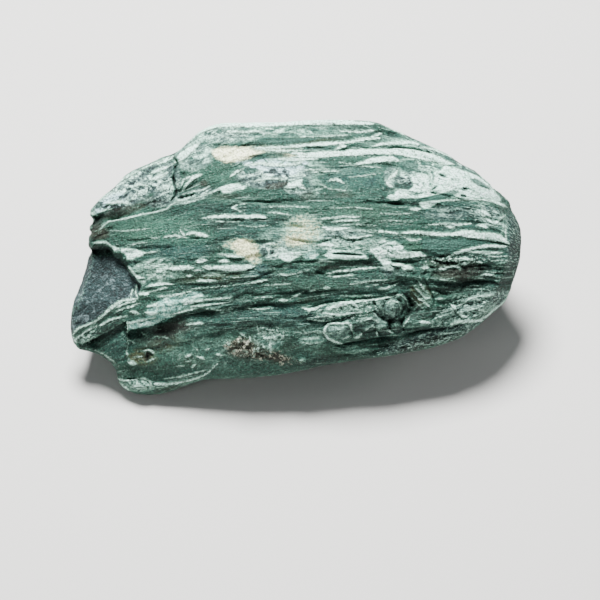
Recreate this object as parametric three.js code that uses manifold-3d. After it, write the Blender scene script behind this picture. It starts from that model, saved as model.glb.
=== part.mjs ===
// A raw serpentine boulder. It is one wedge of foliated green rock: a broken face slopes up
// to a straight crest, its layers stand as ledges that run across it, joint planes close the
// back and the ends, and a flat fracture lies on the ground.
// Units are millimetres and +Z is up. The face looks towards -Y and upwards.

import * as THREE from "three";
import { ImprovedNoise } from "three/addons/math/ImprovedNoise.js";
import { mergeVertices } from "three/addons/utils/BufferGeometryUtils.js";
import Module from "manifold-3d";

// Driving sizes
const stoneWidth = 500;
const faceSlope = THREE.MathUtils.degToRad(35);
const faceCentreHeight = 134;
const faceCrown = 50;

// The face is drawn on its own plane, in the pixels of a photograph taken square to it.
// On that plane x runs across the stone, u up the slope and w out of the rock.
const leftmostPixel = 68.5;
const rightmostPixel = 523.5;
const facePixel = { x: 296, y: 245 };
const pixelSize = stoneWidth / (rightmostPixel - leftmostPixel);

// The outline from the left tip to the right tip, over the crest and along the foot
const crestOutline = [
  [79, 284], [83, 272], [86, 260], [87, 252], [88, 246], [87, 240], [89, 233], [89, 227],
  [88, 222], [90, 216], [89, 210], [94, 204], [103, 195], [114, 186], [120, 179], [126, 173],
  [138, 167], [150, 162], [162, 156], [174, 152], [181, 147], [189, 139], [198, 131],
  [208, 125], [220, 122], [250, 121], [285, 120.5], [305, 118.5], [335, 118], [366, 119],
  [378, 121], [390, 126], [402, 131], [414, 137], [438, 148], [450, 154], [462, 163],
  [474, 168], [482, 174], [489, 180], [498, 185], [506, 189], [511, 198], [514, 210],
  [521, 222], [523.5, 234],
];
const footOutline = [
  [79, 284], [77, 288], [75, 294], [72, 301], [70, 312], [68.5, 323], [69, 336], [71, 343],
  [76, 350], [90, 353], [98, 356], [106, 361], [112, 367], [115, 376], [116, 383], [122, 390],
  [132, 395], [154, 396.5], [170, 393], [186, 387], [205, 381], [232, 380], [270, 377],
  [300, 372], [325, 366], [350, 362], [372, 359], [388, 357], [404, 354], [428, 350],
  [444, 345], [460, 339], [476, 329], [492, 316], [508, 301], [513, 288], [517, 276],
  [521, 264], [523, 248], [523.5, 234],
];

// Ledges that run across the whole face, from the foot up, as [pixel x, pixel y, step in mm].
// The rock on the named side of a line lies back by the step and comes up again over the
// reach in mm. The rows of the mesh follow these lines; rowsBelow of them lie under each.
const ledges = [
  { back: "below", reach: 13, rowsBelow: 8, line: [
    [86, 350, 0], [150, 347, 2], [185, 341, 3], [215, 332, 3], [250, 325, 2], [285, 320, 2],
    [312, 327, 6], [326, 338, 9], [350, 340, 9], [372, 335, 7], [396, 335, 6], [414, 327, 3],
    [445, 317, 3], [480, 305, 3], [512, 292, 0],
  ] },
  { back: "below", reach: 26, rowsBelow: 7, line: [
    [71, 338, 4], [88, 341, 10], [100, 337, 12], [113, 329, 14], [125, 323, 15],
    [131, 331, 17], [152, 325, 20], [164, 321, 20], [176, 317, 17], [190, 313, 14],
    [207, 310, 11], [244, 306, 8], [265, 302, 7], [300, 297, 5], [330, 294, 4], [365, 291, 2],
    [400, 287, 1], [440, 283, 4], [475, 281, 5], [515, 274, 0],
  ] },
  { back: "below", reach: 15, rowsBelow: 8, line: [
    [84, 291, 0], [140, 290, 2], [180, 283, 4], [225, 277, 5], [262, 268, 6], [300, 262, 7],
    [345, 260, 7], [385, 262, 7], [420, 259, 8], [450, 256, 7], [480, 260, 6], [520, 257, 0],
  ] },
  { back: "above", reach: 20, rowsBelow: 9, line: [
    [86, 237, 6], [100, 230, 9], [109, 222, 12], [125, 219, 13], [140, 215, 12],
    [165, 211, 10], [176, 205, 10], [196, 200, 8], [220, 199, 5], [245, 203, 6],
    [300, 204, 5], [330, 203, 4], [375, 205, 5], [400, 204, 7], [425, 206, 6], [460, 209, 5],
    [516, 213, 0],
  ] },
  { back: "below", reach: 16, rowsBelow: 6, line: [
    [120, 179, 0], [180, 176, 2], [240, 170, 0], [280, 168, 1], [330, 163, 1], [380, 161, 3],
    [410, 168, 5], [450, 183, 3], [480, 192, 2], [505, 197, 0],
  ] },
];
const rowsAtCrest = 8;
const ledgeWidth = 2.6;

// Short ledges, which the rows pass over
const shortLedges = [
  { back: "above", reach: 12, line: [
    [296, 312, 0], [306, 308, 6], [330, 304, 7], [350, 301, 7], [370, 299, 6], [392, 296, 5],
    [408, 296, 0],
  ] },
  { back: "below", reach: 10, line: [
    [205, 146, 0], [250, 147, 3], [300, 146, 4], [350, 142, 3], [385, 138, 4], [420, 142, 0],
  ] },
  { back: "above", reach: 9, line: [
    [232, 231, 0], [270, 228, 3], [330, 230, 4], [380, 236, 4], [430, 233, 5], [500, 230, 0],
  ] },
  { back: "below", reach: 9, line: [
    [112, 246, 0], [150, 250, 3], [200, 251, 4], [240, 249, 3], [262, 246, 0],
  ] },
];

// The smooth joint facet at the left end, and how far out of the rock its plane lies
const jointFacet = [
  [60, 290], [70, 250], [98, 247], [113, 249], [119, 256], [129, 267], [137, 277], [143, 285],
  [139, 297], [120, 304], [105, 314], [90, 324], [60, 338],
];
const facetPlane = { x: -182, u: -22, out: 9, perX: 0.3, perU: -0.1, soft: 5 };

// Hollows and lumps as ellipses: centre and half sizes in pixels, turn in degrees, height in mm
const mounds = [
  { at: [412, 302], half: [26, 15], turn: 28, height: -19 },
  { at: [464, 283], half: [44, 8], turn: 5, height: -9 },
  { at: [398, 284], half: [17, 9], turn: -20, height: -7 },
  { at: [340, 329], half: [17, 10], turn: -4, height: 6 },
  { at: [390, 309], half: [15, 10], turn: 0, height: 7 },
  { at: [385, 329], half: [14, 7], turn: 0, height: -6 },
  { at: [252, 350], half: [34, 12], turn: -4, height: 4 },
  { at: [99, 222], half: [12, 8], turn: 25, height: -6 },
  { at: [104, 236], half: [13, 8], turn: 4, height: 4 },
  { at: [163, 308], half: [26, 9], turn: 12, height: 5 },
  { at: [136, 385], half: [18, 7], turn: -4, height: 4 },
  { at: [440, 182], half: [58, 18], turn: -14, height: 4 },
];

// The apron at the foot, whose ridges are worn off by the share given as its height
const apron = { at: [200, 368], half: [150, 38], turn: 4, height: 0.75 };

// How far the face falls away from its crown towards the ends, the crest and the foot
const fall = { ends: 48, crest: 58, foot: 44, crestReach: 138, footReach: 140 };

// The rounded rim of the face: its width and how far it turns down into the rock
const rim = { width: 9, drop: 9, rightWidth: 17, rightDrop: 24, rightFrom: 175, rightTo: 225 };

// Joint planes behind the face: outward normal and a point on the plane, from the ground
// below the face's centre. Where the outline of the face reaches further, the plane does too.
const jointPlanes = [
  { normal: [0.04, 0.99, -0.07], through: [0, 146, 90] },
  { normal: [-0.16, 0.86, 0.48], through: [-20, 134, 172] },
  { normal: [-0.64, 0.76, 0.1], through: [-172, 88, 80] },
  { normal: [0.6, 0.79, 0.08], through: [178, 92, 80] },
  { normal: [-0.95, 0.08, -0.3], through: [-236, -20, 60] },
  { normal: [-0.75, -0.36, -0.55], through: [-228, -60, 26] },
  { normal: [0.95, 0.1, -0.3], through: [222, 20, 50] },
  { normal: [0.7, -0.45, -0.55], through: [205, -40, 40] },
  { normal: [0.08, -0.76, -0.65], through: [60, -108, 26] },
  { normal: [-0.3, -0.5, -0.8], through: [-150, -80, 6] },
  { normal: [-0.1, 0.62, -0.78], through: [-40, 120, 8] },
  { normal: [0, 0, -1], through: [0, 0, -30] },
];
const jointRounding = 9;
const rimCliff = 5.2;
const leastThickness = { perMm: 2.4, most: 30 };

// Relief of the rock behind the face, in mm: worn in from the joint planes, in ridges along
// the foliation and in broad hollows, where the rock is thick enough
const foliation = new THREE.Vector3(0.06, 0.57, 0.82).normalize();
const backRelief = { ridge: 6, ridgeSpacing: 36, ridgeLength: 130, hollow: 10, hollowSize: 80 };
const wearFrom = 8;
const wearFull = 60;

// The mesh: rings from the left tip to the right tip, rows up the face and round the back
const rings = 70;
const backRows = 20;
const profileSamples = 260;
const buriedShare = 0.25;
const groundShare = 3;
const groundBand = 5;
const leastGap = 0.0045;

const perlin = new ImprovedNoise();
const across = new THREE.Vector3(1, 0, 0);
const upSlope = new THREE.Vector3(0, Math.cos(faceSlope), Math.sin(faceSlope));
const outOfRock = new THREE.Vector3(0, -Math.sin(faceSlope), Math.cos(faceSlope));
const groundToFace = new THREE.Vector3(0, 0, faceCentreHeight);

function fromPixel([x, y]) {
  return new THREE.Vector2((x - facePixel.x) * pixelSize, (facePixel.y - y) * pixelSize);
}

function toGround(x, u, w) {
  return groundToFace.clone()
    .addScaledVector(across, x)
    .addScaledVector(upSlope, u)
    .addScaledVector(outOfRock, w);
}

function fractal(x, y, z, octaves) {
  let sum = 0;
  let share = 1;
  for (let octave = 0; octave < octaves; octave++) {
    sum += share * perlin.noise(x, y, z);
    [x, y, z] = [x * 2.03, y * 2.03, z * 2.03 + 11.7];
    share /= 2;
  }
  return sum;
}

// Flat-sided ridges with creases between them
function ridges(x, y, z) {
  return 1 - 2 * Math.abs(fractal(x, y, z, 2));
}

function outlineCurve(pixels) {
  const points = pixels.map(fromPixel).map((p) => new THREE.Vector3(p.x, p.y, 0));
  return new THREE.CatmullRomCurve3(points, false, "centripetal");
}

const crestCurve = outlineCurve(crestOutline);
const footCurve = outlineCurve(footOutline);
const outlineLoop = [
  ...footCurve.getSpacedPoints(150),
  ...crestCurve.getSpacedPoints(150).reverse().slice(1, -1),
].map((p) => new THREE.Vector2(p.x, p.y));

function distanceToLoop(loop, x, u) {
  let nearest = Infinity;
  for (let i = 0; i < loop.length; i++) {
    const a = loop[i];
    const b = loop[(i + 1) % loop.length];
    const run = { x: b.x - a.x, u: b.y - a.y };
    const along = ((x - a.x) * run.x + (u - a.y) * run.u) / (run.x ** 2 + run.u ** 2);
    const t = THREE.MathUtils.clamp(along, 0, 1);
    nearest = Math.min(nearest, Math.hypot(x - a.x - t * run.x, u - a.y - t * run.u));
  }
  return nearest;
}

function insideLoop(loop, x, u) {
  let inside = false;
  for (let i = 0, j = loop.length - 1; i < loop.length; j = i++) {
    const a = loop[i];
    const b = loop[j];
    if (a.y > u !== b.y > u && x < ((b.x - a.x) * (u - a.y)) / (b.y - a.y) + a.x)
      inside = !inside;
  }
  return inside;
}

function toFaceLine(ledge) {
  const line = ledge.line.map(([px, py, step]) => {
    const p = fromPixel([px, py]);
    return { x: p.x, u: p.y, step };
  });
  return { ...ledge, line };
}

const longLines = ledges.map(toFaceLine);
const allLines = [...longLines, ...shortLedges.map(toFaceLine)];

// A ledge's line at x: its place up the slope and its step, which is none past its ends
function ledgeAt({ line }, x) {
  const first = line[0];
  const last = line.at(-1);
  const wander = 1.5 * perlin.noise(x / 12, first.u / 7, 3.7);
  if (x <= first.x) return { u: first.u + wander, step: 0 };
  if (x >= last.x) return { u: last.u + wander, step: 0 };
  const i = line.findIndex((p) => p.x > x);
  const t = (x - line[i - 1].x) / (line[i].x - line[i - 1].x);
  return {
    u: THREE.MathUtils.lerp(line[i - 1].u, line[i].u, t) + wander,
    step: THREE.MathUtils.lerp(line[i - 1].step, line[i].step, t),
  };
}

function ledgeStep(ledge, x, u) {
  const at = ledgeAt(ledge, x);
  const past = ledge.back === "above" ? u - at.u : at.u - u;
  const edge = THREE.MathUtils.clamp(past / ledgeWidth + 0.5, 0, 1);
  return -at.step * edge * Math.exp(-Math.max(past, 0) / ledge.reach);
}

function toFaceMound({ at, half, turn, height }) {
  return {
    centre: fromPixel(at),
    half: half.map((h) => h * pixelSize),
    turn: THREE.MathUtils.degToRad(turn),
    height,
  };
}

const moundShapes = mounds.map(toFaceMound);
const smoothApron = toFaceMound(apron);

function moundHeight({ centre, half, turn, height }, x, u) {
  const [dx, du] = [x - centre.x, u - centre.y];
  const along = (dx * Math.cos(turn) + du * Math.sin(turn)) / half[0];
  const aside = (du * Math.cos(turn) - dx * Math.sin(turn)) / half[1];
  const reach = along ** 2 + aside ** 2;
  return reach < 1 ? height * (1 - reach) ** 1.2 : 0;
}

const facetLoop = jointFacet.map(fromPixel);

function facetBlend(x, u) {
  const away = distanceToLoop(facetLoop, x, u);
  const inward = insideLoop(facetLoop, x, u) ? away : -away;
  return THREE.MathUtils.smoothstep(inward, -1, facetPlane.soft);
}

// The rim is rounded, but at the right end it is a chamfer
function rimDrop(x, edge) {
  const right = THREE.MathUtils.smoothstep(x, rim.rightFrom, rim.rightTo);
  const width = THREE.MathUtils.lerp(rim.width, rim.rightWidth, right);
  const out = Math.max(1 - edge / width, 0);
  const rounded = rim.drop * (1 - Math.sqrt(1 - out ** 2));
  return THREE.MathUtils.lerp(rounded, rim.rightDrop * out, right);
}

function smoothFace(x, u) {
  const ends = fall.ends * (Math.abs(x) / (stoneWidth / 2)) ** 2.2;
  const slope = u > 0
    ? fall.crest * (u / fall.crestReach) ** 1.8
    : fall.foot * (-u / fall.footReach) ** 2;
  return faceCrown - ends - slope;
}

function faceDepth(x, u) {
  const edge = distanceToLoop(outlineLoop, x, u);
  const inland = THREE.MathUtils.lerp(0.35, 1, THREE.MathUtils.smoothstep(edge, 0, 12));
  let w = smoothFace(x, u);
  for (const ledge of allLines) w += inland * ledgeStep(ledge, x, u);
  for (const mound of moundShapes) w += inland * moundHeight(mound, x, u);
  const rough = 1 - moundHeight(smoothApron, x, u);
  w += 3.2 * rough * ridges(x / 84 + 3.1, u / 19, 0.5);
  w += 2.8 * rough * fractal(x / 40, u / 30, 7.3, 2);
  const facet = facetBlend(x, u);
  const plane = facetPlane.out + facetPlane.perX * (x - facetPlane.x)
    + facetPlane.perU * (u - facetPlane.u) + 1.2 * fractal(x / 40, u / 40, 2.2, 3);
  w = THREE.MathUtils.lerp(w, Math.min(w, plane), facet);
  return w - rimDrop(x, edge);
}

function smoothMax(a, b, rounding) {
  const overlap = Math.max(rounding - Math.abs(a - b), 0) / rounding;
  return Math.max(a, b) + (overlap ** 2 * rounding) / 4;
}

const rimPoints = outlineLoop.map(({ x, y }) => toGround(x, y, smoothFace(x, y) - rimDrop(x, 0)));

// Where each joint plane crosses the line out of the rock through a point of the face
const jointCuts = jointPlanes.map(({ normal, through }) => {
  const n = new THREE.Vector3(...normal).normalize();
  const drawn = n.dot(new THREE.Vector3(...through));
  const outermost = Math.max(drawn, ...rimPoints.map((p) => n.dot(p)));
  const reach = outermost - n.dot(groundToFace);
  return (x, u) => (reach - n.dot(across) * x - n.dot(upSlope) * u) / n.dot(outOfRock);
});

function backDepth(x, u) {
  const edge = distanceToLoop(outlineLoop, x, u);
  let w = jointCuts.map((cut) => cut(x, u)).reduce((a, b) => smoothMax(a, b, jointRounding));
  const rimDepth = smoothFace(x, u) - rimDrop(x, 0);
  w = smoothMax(w, rimDepth - rimCliff * edge, jointRounding / 2);
  const thinnest = Math.min(leastThickness.perMm * edge, leastThickness.most);
  return Math.min(w, faceDepth(x, u) - thinnest);
}

// A ring bows from the foot outline over the middle line to the crest outline
function ringPoint(ring, share) {
  const tip = ring / rings;
  const foot = footCurve.getPointAt(tip);
  const crest = crestCurve.getPointAt(tip);
  const middle = footCurve.getPoint(0).lerp(footCurve.getPoint(1), tip);
  const p = foot.multiplyScalar((1 - share) * (1 - 2 * share))
    .add(middle.multiplyScalar(4 * share * (1 - share)))
    .add(crest.multiplyScalar(share * (2 * share - 1)));
  return { x: p.x, u: p.y };
}

// Running length of the rock's surface along a ring, over equal shares of the ring. What
// will be buried counts little.
function profileLength(ring, depth) {
  const lengths = [0];
  let last = null;
  for (let i = 0; i <= profileSamples; i++) {
    const { x, u } = ringPoint(ring, i / profileSamples);
    const here = toGround(x, u, depth(x, u));
    const weight = here.z < -groundBand ? buriedShare : here.z < groundBand ? groundShare : 1;
    if (last) lengths.push(lengths.at(-1) + weight * here.distanceTo(last));
    last = here;
  }
  return lengths;
}

function profilesOf(depth) {
  const single = [];
  for (let ring = 1; ring < rings; ring++) single[ring] = profileLength(ring, depth);
  return single.map((_, ring) => {
    const near = [-1, 0, 1].map((step) => single[ring + step]).filter(Boolean);
    return near[0].map((_, i) => near.reduce((sum, p) => sum + p[i], 0) / near.length);
  });
}

// Shares of a ring between two shares, evenly spaced over the surface
function spreadRows(profile, from, to, rows) {
  const lengthAt = (share) => {
    const i = Math.min(Math.floor(share * profileSamples), profileSamples - 1);
    return THREE.MathUtils.lerp(profile[i], profile[i + 1], share * profileSamples - i);
  };
  const [start, end] = [lengthAt(from), lengthAt(to)];
  const shares = [];
  let i = 0;
  for (let row = 1; row <= rows; row++) {
    const length = THREE.MathUtils.lerp(start, end, row / rows);
    while (i < profileSamples - 1 && profile[i + 1] < length) i++;
    shares.push((i + (length - profile[i]) / (profile[i + 1] - profile[i])) / profileSamples);
  }
  return shares;
}

// The share of a ring at which it meets a ledge's line: none of it above, or all of it below
function meetingShare(ring, line) {
  const over = (share) => {
    const { x, u } = ringPoint(ring, share);
    return u - ledgeAt(line, x).u;
  };
  const step = 1 / profileSamples;
  for (let share = 0; share < 1; share += step) {
    if (over(share) > 0) return Math.max(share - step / 2, 0);
    if (over(share + step) > 0) {
      const [a, b] = [over(share), over(share + step)];
      return share + (step * -a) / (b - a);
    }
  }
  return 1;
}

// Rows of the face along a ring, with a row on each side of every long ledge's line
function faceShares(ring, profile) {
  const length = footCurve.getPointAt(ring / rings).distanceTo(crestCurve.getPointAt(ring / rings));
  const lip = Math.min(ledgeWidth / Math.max(length, 1), leastGap);
  const counts = [...longLines.map((line) => line.rowsBelow), rowsAtCrest];
  const meetings = longLines.map((line) => meetingShare(ring, line));
  const room = counts.map((count) => count * leastGap + 2 * lip);
  const belowOf = (i) => room.slice(0, i + 1).reduce((a, b) => a + b, 0);
  const aboveOf = (i) => room.slice(i + 1).reduce((a, b) => a + b, 0);
  const shares = [0];
  let from = 0;
  counts.forEach((count, i) => {
    const last = i === counts.length - 1;
    const to = last ? 1 : THREE.MathUtils.clamp(meetings[i], belowOf(i), 1 - aboveOf(i));
    const end = last ? 1 : Math.max(to - lip / 2, from + count * leastGap);
    shares.push(...spreadRows(profile, from, end, count));
    if (!last) shares.push(end + lip);
    from = end + lip;
  });
  return shares;
}

// Two triangles over a quad, split along the diagonal that lies closer to the rock
function splitQuad(corners, places, depth) {
  const miss = (i, j) => {
    const [a, b] = [places[corners[i]], places[corners[j]]];
    const [x, u, w] = [(a.x + b.x) / 2, (a.u + b.u) / 2, (a.w + b.w) / 2];
    return Math.abs(depth(x, u) - w);
  };
  const [a, b, c, d] = corners;
  return miss(0, 2) <= miss(1, 3) ? [a, b, c, a, c, d] : [a, b, d, b, c, d];
}

// How far the rock behind the face is worn in at a place
function backWear(place) {
  const { ridge, ridgeSpacing, ridgeLength, hollow, hollowSize } = backRelief;
  const layer = place.dot(foliation) / ridgeSpacing;
  const ridgeHere = Math.abs(fractal(place.x / ridgeLength, layer, place.y / ridgeLength, 2));
  const hollowHere = fractal(...place.clone().divideScalar(hollowSize).toArray(), 2);
  return 2 * ridge * ridgeHere + hollow * (0.4 + hollowHere);
}

// Wears the rock behind the face in, square to its surface
function wearBack(geometry, places) {
  const { position, normal } = geometry.attributes;
  places.forEach(({ x, u, w, behind }, i) => {
    if (!behind) return;
    const place = new THREE.Vector3().fromBufferAttribute(position, i);
    const inward = new THREE.Vector3().fromBufferAttribute(normal, i).negate();
    const thickness = faceDepth(x, u) - w;
    const wear = backWear(place)
      * THREE.MathUtils.smoothstep(thickness, wearFrom, wearFull)
      * THREE.MathUtils.smoothstep(place.z, -20, 10);
    place.addScaledVector(inward, wear);
    position.setXYZ(i, place.x, place.y, place.z);
  });
}

function roundStone() {
  const places = [];
  const addPlace = ({ x, u }, behind) => {
    places.push({ x, u, w: behind ? backDepth(x, u) : faceDepth(x, u), behind });
  };
  const faceProfiles = profilesOf(faceDepth);
  const backProfiles = profilesOf(backDepth);
  let faceRows = 0;
  for (let ring = 1; ring < rings; ring++) {
    const shares = faceShares(ring, faceProfiles[ring]);
    faceRows = shares.length - 1;
    for (const share of shares) addPlace(ringPoint(ring, share), false);
    const behind = spreadRows(backProfiles[ring], 0, 1, backRows).slice(0, -1).reverse();
    for (const share of behind) addPlace(ringPoint(ring, share), true);
  }
  const loop = faceRows + backRows;
  const tips = [places.length, places.length + 1];
  addPlace(ringPoint(0, 0), false);
  addPlace(ringPoint(rings, 0), false);
  const triangles = [];
  const lastRing = (rings - 2) * loop;
  for (let row = 0; row < loop; row++) {
    const next = (row + 1) % loop;
    const depth = row < faceRows ? faceDepth : backDepth;
    triangles.push(tips[0], row, next);
    triangles.push(tips[1], lastRing + next, lastRing + row);
    for (let start = 0; start < lastRing; start += loop) {
      const corners = [start + row, start + loop + row, start + loop + next, start + next];
      triangles.push(...splitQuad(corners, places, depth));
    }
  }
  const positions = places.flatMap(({ x, u, w }) => toGround(x, u, w).toArray());
  const geometry = new THREE.BufferGeometry()
    .setAttribute("position", new THREE.Float32BufferAttribute(positions, 3))
    .setIndex(triangles);
  geometry.computeVertexNormals();
  wearBack(geometry, places);
  return geometry;
}

const wasm = await Module();
wasm.setup();

function toSolid(geometry) {
  const bare = geometry.clone();
  bare.deleteAttribute("normal");
  bare.deleteAttribute("uv");
  const merged = mergeVertices(bare, 1e-3);
  return new wasm.Manifold(new wasm.Mesh({
    numProp: 3,
    vertProperties: merged.attributes.position.array,
    triVerts: new Uint32Array(merged.index.array),
  }));
}

function toGeometry(solid) {
  const { vertProperties, triVerts } = solid.getMesh();
  return new THREE.BufferGeometry()
    .setAttribute("position", new THREE.BufferAttribute(vertProperties, 3))
    .setIndex(new THREE.BufferAttribute(triVerts, 1));
}

// Everything under the ground is cut away, which leaves the flat fracture it rests on
function restingStone() {
  const block = new THREE.BoxGeometry(2 * stoneWidth, 2 * stoneWidth, 100);
  block.translate(0, 0, -50);
  return toGeometry(toSolid(roundStone()).subtract(toSolid(block)));
}

const stoneGeometry = restingStone();
stoneGeometry.computeBoundingBox();
const middle = stoneGeometry.boundingBox.getCenter(new THREE.Vector3());
stoneGeometry.translate(-middle.x, -middle.y, 0);
stoneGeometry.computeVertexNormals();

const serpentineRock = new THREE.MeshStandardMaterial({
  color: "#5f7f72",
  roughness: 0.62,
  metalness: 0,
  flatShading: true,
});

const boulder = new THREE.Group();
const stone = new THREE.Mesh(stoneGeometry, serpentineRock);
stone.name = "serpentine_stone";
boulder.add(stone);

export default boulder;
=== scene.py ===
import itertools
import math

import bpy
import numpy as np
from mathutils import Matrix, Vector, kdtree


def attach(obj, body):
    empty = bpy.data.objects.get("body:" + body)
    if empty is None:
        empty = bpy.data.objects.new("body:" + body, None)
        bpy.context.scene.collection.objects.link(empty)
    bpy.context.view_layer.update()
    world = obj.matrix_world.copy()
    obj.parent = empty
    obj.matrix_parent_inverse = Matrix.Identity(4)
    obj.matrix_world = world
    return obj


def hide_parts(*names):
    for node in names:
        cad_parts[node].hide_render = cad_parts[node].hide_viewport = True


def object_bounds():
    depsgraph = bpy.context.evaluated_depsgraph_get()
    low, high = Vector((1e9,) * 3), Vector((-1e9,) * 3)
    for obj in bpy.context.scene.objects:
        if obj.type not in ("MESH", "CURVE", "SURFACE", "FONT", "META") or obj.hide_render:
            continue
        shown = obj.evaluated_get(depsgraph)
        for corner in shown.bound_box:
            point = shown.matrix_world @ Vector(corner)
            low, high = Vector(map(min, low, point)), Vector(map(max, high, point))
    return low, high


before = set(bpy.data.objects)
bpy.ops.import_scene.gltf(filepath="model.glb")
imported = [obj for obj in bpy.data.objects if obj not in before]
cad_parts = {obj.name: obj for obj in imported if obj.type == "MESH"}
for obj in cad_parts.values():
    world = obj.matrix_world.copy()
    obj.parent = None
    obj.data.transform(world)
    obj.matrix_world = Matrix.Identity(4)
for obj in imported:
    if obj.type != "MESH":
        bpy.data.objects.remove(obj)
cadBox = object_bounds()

# The broken face has its own frame: x across it, u up its slope, w out of the rock, in mm.
# A place on it is also read in pixels of a view taken square to it.
face = {
    "slope": math.radians(35),
    "centre": (0.048, -14.483, 134.0),
    "pixelCentre": (296, 245),
    "pixelSize": 500 / 455,
    "width": 500,
}
upSlope = np.array([0, math.cos(face["slope"]), math.sin(face["slope"])])
outOfRock = np.array([0, -math.sin(face["slope"]), math.cos(face["slope"])])


def toFace(points):
    local = points * 1000 - np.array(face["centre"])
    return np.stack([local[:, 0], local @ upSlope, local @ outOfRock], 1)


def fromFace(places):
    x, u, w = places.T[:, :, None]
    local = x * np.array([1, 0, 0]) + u * upSlope + w * outOfRock
    return (local + np.array(face["centre"])) / 1000


def toPixels(x, u):
    px, py = face["pixelCentre"]
    return px + x / face["pixelSize"], py - u / face["pixelSize"]


def smoothStep(value, low, high):
    t = np.clip((value - low) / (high - low), 0, 1)
    return t * t * (3 - 2 * t)


# Gradient noise, about -1 to 1
def noiseAt(points, seed):
    cell = np.floor(points).astype(np.int64)
    part = points - cell
    fade = part ** 3 * (part * (part * 6 - 15) + 10)
    total = np.zeros(len(points))
    for corner in itertools.product((0, 1), repeat=3):
        key = (cell + corner) @ np.array([374761393, 668265263, 2147483647]) + seed * 144269504
        key = (key ^ (key >> 13)) * 1274126177
        key = key ^ (key >> 16)
        slopes = np.stack([(key >> shift) & 255 for shift in (0, 8, 16)], 1) / 127.5 - 1
        weight = np.prod(np.where(corner, fade, 1 - fade), axis=1)
        total += weight * ((part - corner) * slopes).sum(1)
    return total * 1.4


def fractalAt(points, octaves, seed):
    total = np.zeros(len(points))
    for octave in range(octaves):
        total += noiseAt(points * 2 ** octave, seed + octave) / 2 ** octave
    return total


# The camera looks square at the face, from far enough away to keep its lines nearly parallel
view = {
    "distance": 5.0,
    "pixelAtCentre": (300, 300),
    "frameWidth": 600,
    "sensor": 36,
}


def lookAt(place, target):
    return (Vector(target) - Vector(place)).to_track_quat("-Z", "Y").to_euler()


def addCamera():
    px, py = view["pixelAtCentre"]
    x = (px - face["pixelCentre"][0]) * face["pixelSize"]
    u = (face["pixelCentre"][1] - py) * face["pixelSize"]
    target = fromFace(np.array([[x, u, 0.0]]))[0]
    place = target + view["distance"] * outOfRock
    bpy.ops.object.camera_add(location=place, rotation=lookAt(place, target))
    camera = bpy.context.object
    camera.name = "faceCamera"
    camera.data.sensor_width = view["sensor"]
    seen = view["frameWidth"] * face["pixelSize"] / 1000
    camera.data.lens = view["sensor"] * view["distance"] / seen
    camera.data.clip_end = 10 * view["distance"]
    bpy.context.scene.camera = camera


studio = {
    "floorSize": 16,
    "floorColor": "#C6C5C2",
    "floorRoughness": 0.9,
    "worldColor": "#DDE3EA",
    "worldStrength": 0.22,
    "aim": (0, 0, 0.1),
    "softBoxes": [  # place, size, watts
        ("overheadBox", (-0.3, 0.95, 2.6), 1.1, 380),
        ("frontBox", (-1.6, -1.9, 1.7), 1.4, 16),
        ("sideBox", (2.2, 0.2, 1.4), 0.9, 8),
    ],
}


def toLinear(code):
    channels = [int(code[i:i + 2], 16) / 255 for i in (1, 3, 5)]
    return [c / 12.92 if c <= 0.04045 else ((c + 0.055) / 1.055) ** 2.4 for c in channels] + [1]


def addNode(nodes, kind, inputs=None, **settings):
    node = nodes.new("ShaderNode" + kind)
    for name, value in settings.items():
        setattr(node, name, value)
    for name, value in (inputs or {}).items():
        if isinstance(value, bpy.types.NodeSocket):
            nodes.id_data.links.new(value, node.inputs[name])
        else:
            node.inputs[name].default_value = value
    return node.outputs


def addStudio():
    bpy.ops.mesh.primitive_plane_add(size=studio["floorSize"], location=(0, 0, 0))
    floor = bpy.context.object
    floor.name = "studioFloor"
    paper = bpy.data.materials.new("matt_backdrop_paper")
    paper.use_nodes = True
    shader = paper.node_tree.nodes["Principled BSDF"]
    shader.inputs["Base Color"].default_value = toLinear(studio["floorColor"])
    shader.inputs["Roughness"].default_value = studio["floorRoughness"]
    floor.data.materials.append(paper)
    for name, place, size, watts in studio["softBoxes"]:
        turned = lookAt(place, studio["aim"])
        bpy.ops.object.light_add(type="AREA", location=place, rotation=turned)
        light = bpy.context.object
        light.name = name
        light.data.shape = "DISK"
        light.data.size = size
        light.data.energy = watts
    world = bpy.data.worlds.new("softRoom")
    world.use_nodes = True
    background = world.node_tree.nodes["Background"]
    background.inputs["Color"].default_value = toLinear(studio["worldColor"])
    background.inputs["Strength"].default_value = studio["worldStrength"]
    bpy.context.scene.world = world


bpy.ops.object.select_all(action="DESELECT")
addCamera()
addStudio()
print("camera, floor and lights are set")

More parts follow.
